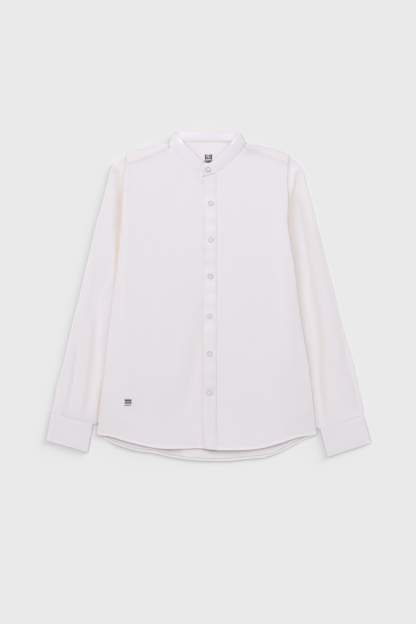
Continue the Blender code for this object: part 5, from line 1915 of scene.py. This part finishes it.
VIEW_LONG_SIDE = 1.416      # metres of floor that the view's long side shows
VIEW_CENTRE = (-1.59, -33.6)        # in the tables' millimetres
LENS = 85.0
SENSOR = 36.0
FLOOR_SIZE = 6.0
FLOOR_DROP = 0.0002
SKY_STRENGTH = 0.42

# Lamps: where each comes from, its strength, its softness in degrees, and the name of the only
# thing it lights, if it doesn't light all
Lamp = namedtuple("Lamp", "name turn height strength softness lights")
LAMPS = (
    Lamp("overhead_light", 90, 84, 1.35, 70, None),
    Lamp("floor_light", 38, 17, 1.9, 26, "floor"),
    Lamp("cloth_light", 150, 50, 0.75, 30, "shirt"),
)


def aim(lamp):
    """Turns a lamp's own -Z away from where it comes from."""
    turn, height = math.radians(lamp.turn), math.radians(lamp.height)
    way = (math.cos(turn) * math.cos(height), math.sin(turn) * math.cos(height), math.sin(height))
    return Vector(way).to_track_quat("Z", "Y").to_euler()


def group_of(name, items):
    group = bpy.data.collections.new(name)
    for item in items:
        group.objects.link(item)
    return group


class SHIRT_OT_stage(bpy.types.Operator):
    """Pale floor, soft light and the camera straight above"""
    bl_idname = "shirt.stage"
    bl_label = "Stage"

    def execute(self, context):
        scene = context.scene
        pieces = [item for item in scene.collection.all_objects if item.type == "MESH"]
        mesh = bpy.data.meshes.new("floor")
        corners = [(x * FLOOR_SIZE, y * FLOOR_SIZE, -FLOOR_DROP)
                   for x, y in ((-1, -1), (1, -1), (1, 1), (-1, 1))]
        mesh.from_pydata(corners, [], [(0, 1, 2, 3)])
        mesh.materials.append(get_material("pale_floor"))
        floor = put("floor", mesh)
        floor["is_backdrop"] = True
        lit = {"floor": [floor], "shirt": pieces}
        for lamp in LAMPS:
            self.hang(lamp, lit.get(lamp.lights))
        # light comes through the standing collar, so it casts no shadow
        shades = [item for item in pieces if not item.name.startswith("collar")]
        linking = bpy.data.objects["cloth_light"].light_linking
        linking.blocker_collection = group_of("cloth_light_shades", shades)

        world = bpy.data.worlds.new("studio")
        world.use_nodes = True
        background = world.node_tree.nodes["Background"]
        background.inputs["Color"].default_value = (1.0, 1.0, 1.0, 1.0)
        background.inputs["Strength"].default_value = SKY_STRENGTH
        scene.world = world
        scene.view_settings.view_transform = "Standard"

        eye = bpy.data.cameras.new("camera")
        eye.lens = LENS
        eye.sensor_width = SENSOR
        eye.clip_end = 50.0
        camera = put("camera", eye)
        camera.location = (VIEW_CENTRE[0] * MM + SHIFT[0], VIEW_CENTRE[1] * MM + SHIFT[1],
                           VIEW_LONG_SIDE * LENS / SENSOR)
        scene.camera = camera
        return {"FINISHED"}

    @staticmethod
    def hang(lamp, only):
        """A sun lamp; where only is given, it lights those things and no others."""
        sun = bpy.data.lights.new(lamp.name, "SUN")
        sun.energy = lamp.strength
        sun.angle = math.radians(lamp.softness)
        hung = put(lamp.name, sun)
        hung.rotation_euler = aim(lamp)
        if only:
            hung.light_linking.receiver_collection = group_of(lamp.name + "_lit", only)


OPERATORS = (SHIRT_OT_back, SHIRT_OT_yoke, SHIRT_OT_sleeves, SHIRT_OT_fronts, SHIRT_OT_placket,
             SHIRT_OT_collar, SHIRT_OT_cuffs, SHIRT_OT_sleeve_plackets, SHIRT_OT_patch,
             SHIRT_OT_buttons, SHIRT_OT_stage)


class SHIRT_PT_panel(bpy.types.Panel):
    """Sizes, colours and pieces of the shirt"""
    bl_idname = "SHIRT_PT_panel"
    bl_label = "Shirt"
    bl_space_type = "VIEW_3D"
    bl_region_type = "UI"
    bl_category = "Shirt"

    def draw(self, context):
        for group in (context.scene.shirt_sizes, context.scene.shirt_colours):
            box = self.layout.box()
            for name in group.__annotations__:
                box.prop(group, name)
        for operator in OPERATORS:
            self.layout.operator(operator.bl_idname)


CLASSES = (ShirtSizes, ShirtColours, *OPERATORS, SHIRT_PT_panel)


def register():
    for item in CLASSES:
        bpy.utils.register_class(item)
    bpy.types.Scene.shirt_sizes = bpy.props.PointerProperty(type=ShirtSizes)
    bpy.types.Scene.shirt_colours = bpy.props.PointerProperty(type=ShirtColours)


def unregister():
    del bpy.types.Scene.shirt_sizes
    del bpy.types.Scene.shirt_colours
    for item in reversed(CLASSES):
        bpy.utils.unregister_class(item)


def main():
    register()
    for operator in OPERATORS:
        group, name = operator.bl_idname.split(".")
        getattr(getattr(bpy.ops, group), name)()
    corners = {"solid": SOLID_BOX, "visual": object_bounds()}
    {name: [list(corner) for corner in pair] for name, pair in corners.items()}


if __name__ == "__main__":
    main()
